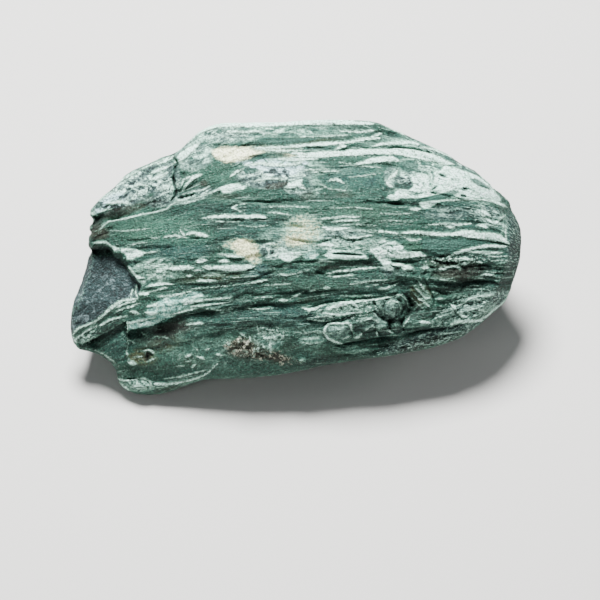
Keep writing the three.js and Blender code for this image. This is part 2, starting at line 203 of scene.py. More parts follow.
# The boulder's shape. Lengths are in mm, but for the voxels and the foot, which are in metres.
stone = {
    "node": "serpentine_stone",
    "slot": "serpentine_rock",
    "coarseVoxel": 0.0022,
    "fineVoxel": 0.0013,
    "mostTriangles": 190000,
    "smoothing": {"rounds": 5, "back": 1.04},  # of the solid's facets
    # the bow of the face: how far it stands out, and how far it falls towards its edges
    "crown": 50,
    "fall": {"ends": 48, "crest": 58, "foot": 44, "crestReach": 138, "footReach": 140},
    "rim": {"width": 9, "drop": 9, "rightWidth": 17, "rightDrop": 24, "from": 175, "to": 225},
    # where the carving fades in: how far the surface looks out of the face, and from the rim
    "faceTilt": (0.02, 0.2),
    "faceEdge": (2.5, 9),
    "inland": 12,  # from the rim, where the relief has its full height
    "ledgeEdge": 0.9,
    # layers: thickness, height of their steps, seed
    "layers": [(16, 2.2, 21), (7.3, 1.1, 31), (3.4, 0.5, 41)],
    # the noise that bends them: its sizes, and how far; rise and share are counted in layers
    "bend": {"run": 36, "depth": 60, "rise": 2.2, "share": 0.7},
    # noise of the face: size across and up, octaves, seed
    "noise": {"swell": (60, 26, 1, 11), "streaks": (16, 5, 2, 51), "bumps": (9, 9, 2, 61),
              "grain": (4.5, 4.5, 2, 71), "facetEdge": (9, 9, 2, 91), "facet": (26, 20, 3, 81)},
    "height": {"swell": 3.4, "streaks": 0.9, "bumps": 1.8, "grain": 0.3, "facetEdge": 1.6,
               "facet": 1.3, "vein": 1.0},
    "facet": {"x": -182, "u": -22, "out": 13, "perX": 0.3, "perU": -0.1},  # its plane
    "layerLean": 0.37,  # how much a layer climbs the slope for each mm into the rock
    # the joint planes of the back and ends
    "back": {"layers": [(23, 3.4, 121), (9, 1.9, 131), (4, 0.8, 141)],
             "worn": 1.2, "wornSize": 14, "wornSeed": 151, "thick": (2, 30)},
    "foot": (0.0005, 0.006),  # between these heights above the ground they begin to be worn
    # where the outline is pulled in: centre, half sizes and turn as seen, mm across and up
    "trims": [(501, 192, 13, 13, 0, (-4.3, -2.5)), (88, 221, 8, 5, 0, (3.5, 0)),
              (87, 233, 8, 3, 0, (2, 0)), (87, 252, 8, 5, 0, (2, 0))],
    "drawnDepth": (-60, -40),  # how far behind the face its veins and patches fade out
}

# Where the layers of the rock run over the face, by their height at its middle
layerGuides = {
    122: [(60, 250), (110, 205), (150, 178), (190, 150), (240, 130), (300, 122), (360, 122),
          (420, 140), (470, 165), (530, 215)],
    150: [(60, 255), (100, 222), (150, 195), (200, 170), (250, 152), (300, 150), (350, 150),
          (400, 153), (450, 168), (530, 225)],
    172: [(60, 262), (100, 229), (135, 217), (195, 197), (250, 175), (300, 172), (350, 172),
          (400, 178), (450, 184), (500, 202), (530, 235)],
    205: [(60, 270), (100, 238), (150, 222), (200, 207), (245, 203), (300, 205), (400, 203),
          (450, 208), (500, 215), (530, 240)],
    236: [(60, 290), (110, 248), (150, 245), (200, 238), (250, 236), (300, 236), (400, 234),
          (450, 236), (500, 240), (530, 248)],
    262: [(60, 310), (110, 275), (150, 272), (200, 268), (250, 266), (300, 262), (345, 260),
          (400, 258), (450, 256), (500, 252), (530, 258)],
    282: [(60, 338), (72, 333), (100, 315), (138, 299), (165, 296), (205, 290), (250, 283),
          (300, 280), (350, 280), (400, 278), (450, 280), (500, 275), (530, 270)],
    298: [(60, 350), (95, 337), (127, 322), (160, 316), (200, 309), (240, 304), (300, 296),
          (350, 290), (400, 288), (450, 286), (530, 284)],
    320: [(60, 375), (110, 352), (150, 335), (200, 326), (250, 322), (300, 322), (330, 318),
          (400, 312), (450, 305), (510, 294), (530, 292)],
    350: [(60, 400), (120, 388), (160, 385), (205, 375), (250, 365), (300, 350), (350, 348),
          (400, 343), (450, 333), (490, 317), (530, 302)],
    380: [(60, 420), (120, 410), (200, 392), (250, 385), (300, 375), (400, 358), (450, 350),
          (530, 330)],
}

# Ledges: the rock on the named side of a line of [x, y, step in mm] lies back by the step and
# comes up again over the reach in pixels
ledges = [
    ("below", 13, [[86, 350, 0], [150, 347, 2], [185, 341, 3], [215, 332, 3], [250, 325, 2],
                   [285, 320, 1], [320, 341, 1], [332, 345, 6], [350, 342, 7], [362, 340, 6],
                   [376, 337, 6], [396, 335, 6], [414, 331, 5], [450, 327, 4], [480, 318, 2],
                   [505, 303, 0]]),
    ("below", 15, [[70, 340, 4], [80, 344, 7], [92, 340, 11], [103, 334, 14], [113, 329, 15],
                   [122, 323, 16], [126.5, 321, 16], [127.5, 332, 14], [140, 328, 17],
                   [150, 326, 20], [158, 322, 20], [168, 318, 17], [180, 314, 11], [190, 312, 7],
                   [200, 310.5, 4], [225, 309, 3], [240, 307, 3], [262, 303, 3], [287, 303, 2],
                   [330, 300, 1], [365, 299, 0]]),
    ("below", 9, [[228, 300, 0], [236, 296, 3], [245, 292, 2.4], [262, 294, 2], [280, 293, 2.4],
                  [300, 290, 3], [320, 290, 2.4], [345, 290, 1.6], [370, 292, 2], [385, 293, 0]]),
    ("below", 13, [[140, 290, 0], [180, 284, 1.2], [225, 283, 1.4], [250, 280, 1.6],
                   [270, 272, 1.4], [284, 264, 2], [300, 261, 2], [320, 261, 2], [345, 259.5, 2],
                   [370, 260, 2.4], [388, 262, 2.4], [405, 261, 3], [430, 259, 3.4],
                   [440, 261.5, 4], [460, 262, 4], [480, 264, 4], [500, 266, 3], [516, 262, 0]]),
    ("above", 15, [[86, 238, 4], [95, 231, 8], [101, 229, 10], [105, 225, 11], [109, 221.5, 12],
                   [122, 219.5, 13], [137, 216, 12], [147, 214, 11], [160, 211.5, 9], [167, 210, 9],
                   [171, 206, 8], [184, 202, 8], [196, 200, 6], [215, 198, 4], [245, 203, 4],
                   [300, 204, 4], [333, 203, 2], [375, 206, 1], [386, 205, 4], [403, 206, 4],
                   [425, 209, 3], [460, 209, 4], [500, 214, 0]]),
    ("below", 12, [[180, 170, 0], [240, 170, 1], [280, 168, 1], [345, 168, 1.2], [380, 164, 1.2],
                   [400, 166, 2], [420, 172, 2], [450, 183, 1], [500, 200, 0]]),
    ("below", 7, [[200, 146, 0], [215, 144.5, 1], [250, 145.5, 1], [298, 149, 2], [320, 148, 2],
                  [337, 149, 2], [350, 148, 2], [370, 148, 2], [385, 148, 2], [400, 147, 3],
                  [412, 148, 3], [425, 151, 3], [437, 155, 2], [450, 162, 0]]),
    ("above", 7, [[300, 122, 0], [320, 121.5, 2], [330, 124, 2], [350, 129, 3], [372, 131, 3],
                  [386, 136, 5], [398, 138, 4], [415, 140, 0]]),
    ("above", 7, [[200, 231, 0], [232, 231, 1], [270, 228, 2], [330, 230, 2], [380, 233, 2],
                  [430, 232, 3], [500, 231, 0]]),
    ("below", 6, [[143, 254, 0], [160, 252, 1], [188, 238, 0]]),
    ("below", 6, [[168, 272, 0], [200, 272.5, 2], [240, 273, 2], [254, 269, 1.4], [275, 277, 0]]),
    ("below", 5, [[180, 290, 0], [205, 289, 1.4], [240, 286, 1.4], [262, 283, 2], [272, 281, 0]]),
    ("below", 5, [[172, 304, 0], [200, 302, 2], [232, 300, 2], [236, 299, 0]]),
    ("above", 8, [[300, 309, 0], [309, 309, 4], [323, 305, 5], [340, 302, 5], [357, 300.5, 6],
                  [375, 299, 5], [388, 297, 4], [396, 297, 0]]),
    ("below", 7, [[300, 319, 0], [312, 320, 3], [330, 321.5, 4], [350, 315, 2], [360, 313, 0]]),
    ("below", 8, [[420, 279, 0], [440, 282, 2], [455, 282.5, 3], [475, 280, 4], [490, 280, 3],
                  [498, 284, 2], [512, 284, 0]]),
    ("below", 6, [[432, 288, 0], [438, 291, 4], [447, 291, 4], [452, 293, 0]]),
    ("below", 5, [[418, 327, 0], [435, 326, 3], [452, 325, 3], [482, 322, 2], [495, 315, 0]]),
    ("below", 6, [[120, 379, 0], [131, 378, 3], [138, 377, 3], [148, 380, 3], [152, 386, 2],
                  [158, 388, 3], [185, 385, 3], [205, 381, 2], [218, 374, 0]]),
    ("below", 6, [[330, 357, 0], [350, 353.5, 3], [380, 350, 4], [400, 347, 3], [420, 343, 0]]),
]

# Cracks as [x, y, width in pixels, depth in mm]
cracks = [
    [[173, 154, 3, 6], [176, 160, 3, 7], [178, 165, 2.6, 7], [175.5, 168, 2.4, 6],
     [176, 172, 2.4, 6], [174, 178, 2.8, 6], [175, 184, 2.6, 7], [177, 190, 2.8, 7],
     [177, 195, 2.6, 7], [173, 200, 2.4, 5], [170, 204, 2, 3]],
    [[163, 160, 1.4, 2], [161, 168, 1.6, 3], [164, 176, 1.4, 2]],
    [[150, 172, 1.4, 2], [154, 180, 1.6, 3], [151, 187, 1.4, 2]],
    [[422, 172, 1.4, 2], [428, 176, 1.6, 4], [431, 181, 1.4, 4], [430, 186, 1.2, 2]],
    [[432, 190, 1.2, 3], [438, 186, 1.6, 4]], [[431, 193.5, 2, 4], [435, 194, 1.6, 4]],
    [[437, 174, 1.4, 3], [444, 177, 1.8, 4]], [[464, 189, 1.6, 3], [470, 189.5, 1.4, 3]],
    [[461, 196, 1.6, 3], [465, 197, 1.5, 3]], [[481, 186, 1.2, 3], [492, 190, 1.2, 3]],
    [[376, 251, 1.4, 4], [377, 252, 1.4, 4]], [[381, 248, 1.6, 4], [384, 249.5, 1.6, 4]],
    [[390, 246, 1.4, 4], [392, 248, 1.4, 4]], [[388, 252, 1.4, 4], [391, 254, 1.6, 4]],
    [[397, 250, 1.4, 3], [400, 252, 1.4, 3]],
    [[165, 172, 1.2, 1], [160, 180, 1.4, 1.5], [163, 190, 1.4, 1.5], [158, 196, 1.2, 1]],
    [[112, 200, 1.2, 1], [124, 196, 1.4, 1.3], [133, 199, 1.4, 1.3], [141, 197, 1.2, 1]],
    [[178, 199, 2, 2], [185, 197, 2.5, 4], [193, 195, 2, 2]],
    [[244, 203, 2, 2], [262, 203, 2.5, 3], [300, 205, 2.5, 3], [333, 204, 2, 2]],
    [[384, 203, 2, 2], [392, 204, 3, 4], [403, 206, 2, 2]],
    [[325, 122, 2, 2], [330, 124.5, 2, 3], [350, 129, 2, 2]],
    [[212, 144.5, 1.5, 0.6], [250, 145.5, 2, 1], [265, 147, 1.5, 0.6]],
    [[298, 149.5, 2, 1], [312, 148, 2, 2], [337, 149, 2, 1]],
    [[345, 150, 2, 1], [352, 147.5, 2, 2], [370, 149, 2, 2], [385, 147, 2, 1]],
    [[385, 149, 2, 1], [400, 147.5, 2, 2], [412, 148.5, 2, 2], [425, 151, 2, 3], [437, 155, 2, 2]],
    [[333, 254, 2, 5], [347, 254.5, 2.4, 6], [361, 255.5, 2, 5]],
    [[389, 261, 2, 2], [397, 262, 3, 4], [405, 262, 2, 2]], [[317, 272, 3, 3], [323, 274, 2.5, 3]],
    [[326, 276, 1.5, 2], [334, 275.5, 2, 3], [345, 274.5, 1.5, 2]],
    [[192, 239, 1.5, 2], [205, 239.5, 2, 2]],
    [[245, 305, 2, 1], [262, 305, 2.4, 2.4], [275, 304.5, 2.4, 2.4], [288, 304, 2, 1]],
    [[196, 303.5, 1.5, 2], [215, 302, 1.5, 2], [232, 300.5, 1.5, 1]],
    [[205, 307, 1.5, 1], [222, 305, 2.4, 2.4], [234, 302.5, 2, 1]],
    [[133, 286, 1.5, 2], [134.5, 292, 1.5, 2], [134, 298, 1.5, 1]],
    [[139, 284, 2, 3], [140, 290, 2, 3], [139, 297, 1.5, 2]],
    [[374, 312, 2, 3], [378, 315, 3, 4], [384, 319, 5, 6], [393, 320, 6, 8], [402, 320, 5, 7],
     [409, 314, 5, 6], [411, 305, 5, 5]],
    [[411, 305, 4, 4], [408, 297, 3, 4], [402, 293, 3, 3], [394, 294, 2, 3]],
    [[384, 313, 1.4, 2], [383, 306, 1.5, 3], [386, 300, 1.6, 3], [393, 298, 1.6, 3],
     [400, 301, 1.6, 3], [403, 308, 1.6, 3], [401, 315, 2, 3]],
    [[375, 305, 1.2, 2], [378, 310, 1.2, 2], [381, 313, 1.4, 2]],
    [[374, 303, 1.4, 2], [377, 309, 1.4, 2]],
    [[389, 320, 3, 5], [389.5, 328, 3, 5], [391, 331, 2, 3]],
    [[374, 326, 2, 3], [380, 335, 2, 2], [386, 335, 2, 2]], [[401, 322, 2, 4], [403, 330, 2, 3]],
    [[405, 334, 2, 2], [420, 330, 2.5, 4], [435, 328.5, 2.5, 4], [450, 327, 2, 2]],
    [[424, 281, 1.6, 2], [429, 290, 2, 3], [433, 299, 2, 3], [434, 306, 1.6, 2]],
    [[434, 263, 2, 1], [442, 263.5, 2, 2], [450, 263, 2, 2], [457, 262.5, 2, 1]],
    [[462, 268, 2, 1.5], [470, 266.5, 2, 2], [480, 265, 2, 2], [488, 265.5, 1.5, 1]],
    [[470, 269.5, 1.5, 2], [486, 269.5, 1.6, 3], [500, 269, 1.4, 2]],
    [[460, 283, 1.6, 1], [468, 281.5, 2, 2], [478, 280.5, 2, 2], [488, 281.5, 2, 2],
     [496, 285, 1.6, 1]],
    [[452, 287, 1.5, 2], [464, 286.5, 2, 2.5], [476, 288, 2, 2.5], [484, 287, 1.5, 1.5]],
    [[495, 274, 1.6, 3], [503, 273.5, 1.6, 3], [511, 273, 1.4, 2]],
    [[494, 279, 1.4, 2], [504, 278, 1.4, 2], [514, 276, 1.2, 2]],
    [[436, 290, 1.6, 2], [440, 293.5, 2, 3], [446, 294.5, 1.6, 2]],
    [[420, 258.5, 2, 2], [436, 257.5, 2, 3], [450, 254, 1.5, 2]],
    [[91, 250.5, 6, 4], [98, 250, 8, 7], [106, 250.5, 7, 6], [112, 252, 5, 3]],
    [[121, 258, 4, 3], [125, 264, 5, 4], [128, 269, 3, 2]],
    [[118, 316, 1.2, 1.5], [128, 307, 1.5, 2], [140, 304, 1.2, 1.5]],
    [[76, 342, 1.5, 2], [90, 331, 1.5, 2], [103, 322, 1.5, 2]],
    [[73, 335, 1.5, 2], [84, 328.5, 1.5, 2], [97, 321, 1.5, 1]],
    [[152, 355, 2, 2], [148, 352, 3, 3], [147, 360, 2, 2]],
    [[323, 326, 1.4, 1.5], [328, 321, 1.6, 2], [338, 321.5, 1.4, 1], [346, 320, 1.4, 1]],
    [[333, 343.5, 2, 2], [340, 345.5, 2.6, 3], [350, 343, 2.4, 3], [360, 340, 2, 2]],
    [[352.5, 328, 1.4, 1.5], [351.5, 334, 1.6, 2.5], [353, 338, 1.4, 2]],
    [[332, 325.5, 1.2, 1.2], [339, 327, 1.2, 1.2], [346, 325, 1.2, 1]],
    [[226, 352, 2, 1.5], [236, 347.5, 2, 2.5], [243, 348.5, 2, 2]],
    [[247, 357, 2, 2], [258, 353, 2, 2.5], [266, 357, 2, 2]],
]

# Hollows and lumps: centre, half sizes and turn as seen, height in mm
mounds = [
    (409, 306, 19, 14, 40, -9), (421, 294, 9, 14, 40, -2), (466, 286, 34, 9, 2, -4),
    (398, 284, 17, 9, -20, -5), (337, 332, 15, 10, -6, 4), (357, 334, 7, 5, 0, 2.5),
    (391, 306, 17, 11, 4, 3), (392, 309, 9, 9, 0, 4.5), (379, 306, 5, 6, 0, 3),
    (403, 301, 5, 8, -40, 2.5), (371, 314, 9, 9, 0, 2), (382, 328, 7, 5, 0, 4),
    (395, 326, 5, 7, 0, 4), (364, 322, 9, 7, 0, 1.5), (252, 350, 34, 12, -4, 3),
    (97, 221, 11, 7, 30, -7), (92, 225.5, 5, 1.6, 0, 2), (101, 237, 13, 7, 4, 3),
    (100, 250.5, 14, 5, 0, -3), (101, 243.2, 7, 2.6, 3, 3), (126, 266, 5, 9, -30, -4),
    (163, 308, 24, 9, 12, 4), (136, 386, 18, 7, -4, 4), (440, 184, 56, 16, -14, 3),
    (393, 134, 8, 4, -20, -3), (346, 255, 23, 6, -2, 2.5), (158, 331, 34, 6, 8, -4),
    (111, 334, 16, 7, 30, -3), (394, 205, 9, 3, 0, -2), (232, 268, 24, 4, 0, 2),
    (390, 252, 26, 6, 0, 2), (470, 236, 40, 5, 0, 1.5), (163, 363, 30, 10, 5, 2),
    (452, 246, 38, 8, 0, 2), (229, 344, 3.4, 3.4, 0, 2.6), (245, 334, 3, 3, 0, 2),
    (254, 354, 3.4, 3.6, 0, 2.6), (245, 353, 5, 5, 0, 2.4), (302, 361, 6, 4.5, 20, 4),
    (235, 352, 3.5, 3, 0, 2), (268, 347, 3, 6, 0, 2), (219, 355, 3, 1.8, 0, 1.4),
    (201, 358, 3, 1.6, 10, 1.4), (187, 356, 2.4, 1.6, 0, 1.2), (132, 363, 4.5, 4.5, 0, 2),
    (147, 352, 7, 4, 30, 2), (265, 339, 5, 3, 0, 2), (275, 337, 4, 3, 0, 1.6),
    (240, 342, 5, 3, 0, 2), (485, 213, 7, 5, 0, 2), (498, 215, 6, 6, 0, 2), (424, 322, 5, 3, 0, 2),
    (454, 308, 4, 4, 0, 3), (462, 315, 4.5, 4, 0, 3), (152, 262, 2.6, 2, -40, 1.5),
    (407, 268, 3.4, 3.4, 0, 2.5), (397, 265, 6, 3, 0, 2), (463, 264, 3, 2, 0, 3),
]

# Where the relief is calmer, and where it is bumpier: centre, half sizes, turn as seen, share
calmPlaces = [
    (205, 352, 110, 30, -8, 0.9), (320, 345, 60, 22, -8, 0.6), (104, 292, 38, 40, 40, 0.9),
    (165, 228, 64, 17, -8, 0.8), (455, 246, 44, 9, 0, 0.8), (385, 176, 56, 14, 0, 0.9),
    (345, 282, 50, 12, 0, 0.4), (135, 190, 54, 28, 30, 1.0), (516, 245, 12, 54, 0, 0.9),
    (350, 214, 80, 10, 0, 0.4), (225, 175, 34, 14, 0, 0.5), (450, 185, 60, 18, -14, 0.5),
    (180, 250, 40, 14, 0, 0.5), (312, 253, 18, 8, 0, 0.9), (300, 284, 40, 9, -3, 0.6),
    (352, 190, 34, 9, 0, 0.8),
]
bumpyPlaces = [
    (466, 288, 26, 8, 0, 0.8), (462, 266, 30, 9, 0, 0.8), (98, 238, 16, 12, 0, 0.9),
    (98, 251, 14, 6, 0, 0.8), (505, 272, 16, 12, 0, 0.7), (425, 320, 30, 8, 0, 0.6),
    (465, 308, 50, 17, 22, 1.0), (445, 338, 48, 9, 16, 0.7), (485, 215, 26, 14, -12, 0.8),
    (145, 188, 50, 24, 30, 0.9), (255, 350, 36, 14, -4, 0.9), (355, 238, 44, 10, 0, 0.5),
    (345, 312, 46, 12, 8, 0.9), (420, 280, 44, 18, 10, 0.9), (445, 183, 52, 16, -14, 0.7),
    (275, 335, 22, 10, 0, 0.8), (225, 135, 34, 10, 4, 0.7), (160, 272, 26, 10, 5, 0.8),
    (390, 310, 22, 18, 0, 1.0), (365, 325, 30, 12, 0, 0.8), (185, 168, 14, 20, 0, 0.7),
    (450, 272, 50, 10, 0, 0.7), (300, 150, 110, 10, 0, 0.4), (270, 185, 50, 10, 0, 0.6),
    (85, 335, 18, 12, 0, 0.7), (100, 228, 14, 12, 0, 0.8), (516, 245, 12, 54, 0, 0.5),
]

# Outline of the smooth joint facet at the left end
jointFacet = [(60, 290), (66, 262), (84, 251), (92, 247), (104, 246.5), (112, 248), (117, 254),
              (123, 258), (129, 268), (136, 277), (143, 286), (139, 297), (128, 300), (118, 303),
              (105, 313), (90, 323), (60, 338)]


# 1 in the middle of an ellipse, 0 at its edge
def ellipseShare(shape, x, y):
    cx, cy, rx, ry, turn = shape[:5]
    turn = math.radians(turn)
    dx, dy = x - cx, y - cy
    along = (dx * math.cos(turn) - dy * math.sin(turn)) / rx
    aside = (dy * math.cos(turn) + dx * math.sin(turn)) / ry
    return np.clip(1 - along ** 2 - aside ** 2, 0, 1)


# Distance to a polyline, which side of it a point is on, how far past its ends, and the
# line's own values there
def alongLine(line, x, y):
    line = np.array(line, float)
    best = np.full(len(x), np.inf)
    side = np.zeros(len(x))
    past = np.zeros(len(x))
    values = np.zeros((len(x), line.shape[1] - 2))
    last = len(line) - 2
    for i in range(last + 1):
        a, b = line[i], line[i + 1]
        run = b[:2] - a[:2]
        length = math.hypot(*run)
        t = ((x - a[0]) * run[0] + (y - a[1]) * run[1]) / length ** 2
        kept = np.clip(t, 0, 1)
        away = np.hypot(x - a[0] - kept * run[0], y - a[1] - kept * run[1])
        nearer = away < best
        best = np.where(nearer, away, best)
        across = ((x - a[0]) * run[1] - (y - a[1]) * run[0]) / length
        over = np.where((t < 0) & (i == 0), -t, np.where((t > 1) & (i == last), t - 1, 0)) * length
        side = np.where(nearer, np.where(over > 0, across, np.sign(across) * away), side)
        past = np.where(nearer, over, past)
        values[nearer] = a[2:] + kept[nearer, None] * (b[2:] - a[2:])
    return side, past, values


# Which places are in the box round a line, give or take the margin
def near(line, x, y, margin=6):
    line = np.array([p[:2] for p in line])
    low, high = line.min(0) - margin, line.max(0) + margin
    return np.flatnonzero((x > low[0]) & (x < high[0]) & (y > low[1]) & (y < high[1]))


# Distance to a polygon's edge, above zero inside
def insideBy(polygon, x, y):
    side, _, _ = alongLine(list(polygon) + [polygon[0]], x, y)
    away = np.abs(side)
    inside = np.zeros(len(x), bool)
    j = len(polygon) - 1
    for i in range(len(polygon)):
        (ax, ay), (bx, by) = polygon[i], polygon[j]
        if ay != by:
            inside ^= ((ay > y) != (by > y)) & (x < (bx - ax) * (y - ay) / (by - ay) + ax)
        j = i
    return np.where(inside, away, -away)


def layerAt(x, y):
    heights = list(layerGuides)
    rows = [np.interp(x, *zip(*layerGuides[height])) for height in heights]
    layer = heights[0] + (y - rows[0])
    for i in range(len(rows) - 1):
        share = (y - rows[i]) / (rows[i + 1] - rows[i])
        layer = np.where(share > 0, heights[i] + share * (heights[i + 1] - heights[i]), layer)
    return np.where(y > rows[-1], heights[-1] + y - rows[-1], layer)


def smoothFace(x, u):
    fall = stone["fall"]
    ends = fall["ends"] * (np.abs(x) / (face["width"] / 2)) ** 2.2
    crest = fall["crest"] * (np.maximum(u, 0) / fall["crestReach"]) ** 1.8
    foot = fall["foot"] * (np.maximum(-u, 0) / fall["footReach"]) ** 2
    return stone["crown"] - ends - crest - foot


def rimDrop(x, edge):
    rim = stone["rim"]
    right = smoothStep(x, rim["from"], rim["to"])
    width = rim["width"] + right * (rim["rightWidth"] - rim["width"])
    out = np.maximum(1 - edge / width, 0)
    rounded = rim["drop"] * (1 - np.sqrt(1 - out ** 2))
    return rounded + right * (rim["rightDrop"] * out - rounded)


# Steps of the layers: each leans out towards the foot and breaks off sharply
def layerSteps(x, layer, w, thickness, seed):
    bend = stone["bend"]
    places = np.stack([x / bend["run"], layer / (thickness * bend["rise"]), w / bend["depth"]], 1)
    phase = layer / thickness + bend["share"] * noiseAt(places, seed)
    part = phase - np.floor(phase)
    height = np.where(part < 0.8, part / 0.8, (1 - part) / 0.2)
    return (height - 0.5) * np.clip(0.7 + 1.1 * noiseAt(places * 0.8 + 9, seed + 1), 0.05, 1.6)


def placeShares(places, x, y):
    return np.clip(sum(ellipseShare(p, x, y) ** 0.6 * p[5] for p in places), 0, 1)


def faceNoise(name, a, b):
    sizeA, sizeB, octaves, seed = stone["noise"][name]
    return fractalAt(np.stack([a / sizeA, b / sizeB, a * 0], 1), octaves, seed)


# About 1, and down to the least here and there
def uneven(a, b, number, least):
    places = np.stack([a, b, a * 0], 1) + number * 3.3
    return np.clip(0.9 + 1.2 * noiseAt(places, 6), least, 1.5)


# How far a place lies inside a pale vein or patch, which stands out because it wears less
def veinShare(px, py):
    share = np.zeros(len(px))
    for white, lines in veins.values():
        for line in lines:
            which = near(line, px, py)
            side, past, values = alongLine(line, px[which], py[which])
            inside = values[:, 0] / 2 - past * 0.5 - np.abs(side)
            stands = white * smoothStep(inside, -1.1, 0.9) * np.minimum(values[:, 0] / 3, 1)
            share[which] = np.maximum(share[which], stands)
    for outline in patches["white"]:
        which = near(outline, px, py, 3)
        inside = insideBy(outline, px[which], py[which])
        share[which] = np.maximum(share[which], smoothStep(inside, -1, 1))
    return share


def faceHeight(x, u, edge):
    px, py = toPixels(x, u)
    layer = layerAt(px, py)
    inland = 0.3 + 0.7 * smoothStep(edge, 0, stone["inland"])
    calm = 1 - placeShares(calmPlaces, px, py)
    bumpy = placeShares(bumpyPlaces, px, py)
    w = smoothFace(x, u)
    wander = np.stack([px / 11, py / 30, px * 0], 1)
    for number, (side, reach, line) in enumerate(ledges):
        xs, ys, steps = zip(*line)
        row = np.interp(px, xs, ys) + 0.9 * noiseAt(wander + number * 7.1, 5)
        step = np.interp(px, xs, steps) * ((px > xs[0]) & (px < xs[-1]))
        past = (py - row) * (1 if side == "below" else -1)
        edgeShare = np.clip(past / stone["ledgeEdge"] + 0.5, 0, 1)
        step *= uneven(px / 17, py / 40, number, 0.35)
        w -= inland * step * edgeShare * np.exp(-np.maximum(past, 0) / reach)
    for mound in mounds:
        w += inland * mound[5] * ellipseShare(mound, px, py) ** 1.2
    height = stone["height"]
    w += inland * (0.35 + 0.65 * calm) * height["swell"] * faceNoise("swell", x, layer)
    rough = inland * (0.12 + 0.88 * calm)
    for thickness, step, seed in stone["layers"]:
        w += rough * step * layerSteps(x, layer, x * 0, thickness, seed)
    w += rough * height["streaks"] * faceNoise("streaks", x, layer)
    w += inland * bumpy * height["bumps"] * (1 - 2 * np.abs(faceNoise("bumps", x, u)))
    w += height["grain"] * faceNoise("grain", x, u)
    w += inland * height["vein"] * veinShare(px, py)
    # the joint facet cuts off what stands out of it
    inFacet = insideBy(jointFacet, px, py) + height["facetEdge"] * faceNoise("facetEdge", px, py)
    facet = stone["facet"]
    plane = facet["out"] + facet["perX"] * (x - facet["x"]) + facet["perU"] * (u - facet["u"])
    plane += height["facet"] * faceNoise("facet", x, u)
    w += smoothStep(inFacet, -1, 4) * (np.minimum(w, plane) - w)
    for crack in cracks:
        which = near(crack, px, py)
        side, past, values = alongLine(crack, px[which], py[which])
        spread = np.maximum(values[:, 0] / 2, 0.6)
        fade = np.exp(-(side / spread) ** 2 - (past / 1.5) ** 2)
        w[which] -= values[:, 1] * fade * uneven(px[which] / 8, py[which] / 8, 0, 0.1)
    return w - rimDrop(x, edge)


def meshArrays(mesh):
    points = np.empty(len(mesh.vertices) * 3)
    mesh.vertices.foreach_get("co", points)
    normals = np.empty(len(mesh.vertices) * 3)
    mesh.vertices.foreach_get("normal", normals)
    return points.reshape(-1, 3), normals.reshape(-1, 3)


def setPoints(mesh, points):
    mesh.vertices.foreach_set("co", points.ravel())
    mesh.update()


# Mean of each vertex's neighbours, some times over
def relaxed(mesh, values, rounds):
    pairs = np.empty(len(mesh.edges) * 2, np.int64)
    mesh.edges.foreach_get("vertices", pairs)
    a, b = pairs.reshape(-1, 2).T
    count = np.bincount(a, minlength=len(values)) + np.bincount(b, minlength=len(values))
    values = values.copy()
    for _ in range(rounds):
        total = np.zeros_like(values)
        for axis in range(values.shape[1]):
            total[:, axis] = (np.bincount(a, values[b, axis], len(values))
                              + np.bincount(b, values[a, axis], len(values)))
        values = (values + total / count[:, None]) / 2
    return values


# Smooths the facets of the solid without shrinking it
def evenOut(mesh):
    points, _ = meshArrays(mesh)
    for _ in range(stone["smoothing"]["rounds"]):
        points = relaxed(mesh, points, 1)
        points += stone["smoothing"]["back"] * (points - relaxed(mesh, points, 1))
    setPoints(mesh, points)


# Distance of each place on the face from the rim, by a grid of what the stone covers
def rimDistance(x, u, cell=2.5):
    column = np.round(x / cell).astype(int)
    row = np.round(u / cell).astype(int)
    low = (column.min() - 2, row.min() - 2)
    covered = np.zeros((column.max() - low[0] + 3, row.max() - low[1] + 3), bool)
    covered[column - low[0], row - low[1]] = True
    beside = np.zeros_like(covered)
    for dx, dy in ((1, 0), (-1, 0), (0, 1), (0, -1)):
        beside |= np.roll(covered, (dx, dy), (0, 1))
    rimCells = np.argwhere(beside & ~covered)
    tree = kdtree.KDTree(len(rimCells))
    for i, (c, r) in enumerate(rimCells):
        tree.insert(((c + low[0]) * cell, (r + low[1]) * cell, 0), i)
    tree.balance()
    away = np.array([tree.find((a, b, 0))[2] for a, b in zip(x, u)])
    return np.maximum(away - cell / 2, 0)


def applyModifier(piece, kind, **settings):
    modifier = piece.modifiers.new(kind.lower(), kind)
    for name, value in settings.items():
        setattr(modifier, name, value)
    bpy.context.view_layer.objects.active = piece
    bpy.ops.object.modifier_apply(modifier=modifier.name)


def copyOfNode(name, pieceName):
    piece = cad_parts[name].copy()
    piece.data = piece.data.copy()
    piece.name = pieceName
    piece.parent = None
    for key in list(piece.keys()):
        del piece[key]
    bpy.context.scene.collection.objects.link(piece)
    bpy.ops.object.select_all(action="DESELECT")
    piece.select_set(True)
    bpy.context.view_layer.objects.active = piece
    bpy.ops.object.mode_set(mode="EDIT")
    bpy.ops.mesh.select_all(action="SELECT")
    bpy.ops.mesh.remove_doubles(threshold=1e-6)
    bpy.ops.object.mode_set(mode="OBJECT")
    return piece


# Layer height at any place of the rock. Behind the face the layers lean into it.
def layerInRock(places, normals):
    x, u, w = places.T
    px, _ = toPixels(x, u)
    turned = 1 - smoothStep(normals @ outOfRock, 0.0, 0.35)
    behind = np.minimum(w - smoothFace(x, u), 0) * turned
    _, py = toPixels(x, u + stone["layerLean"] * behind)
    return layerAt(px, py), px, py, behind


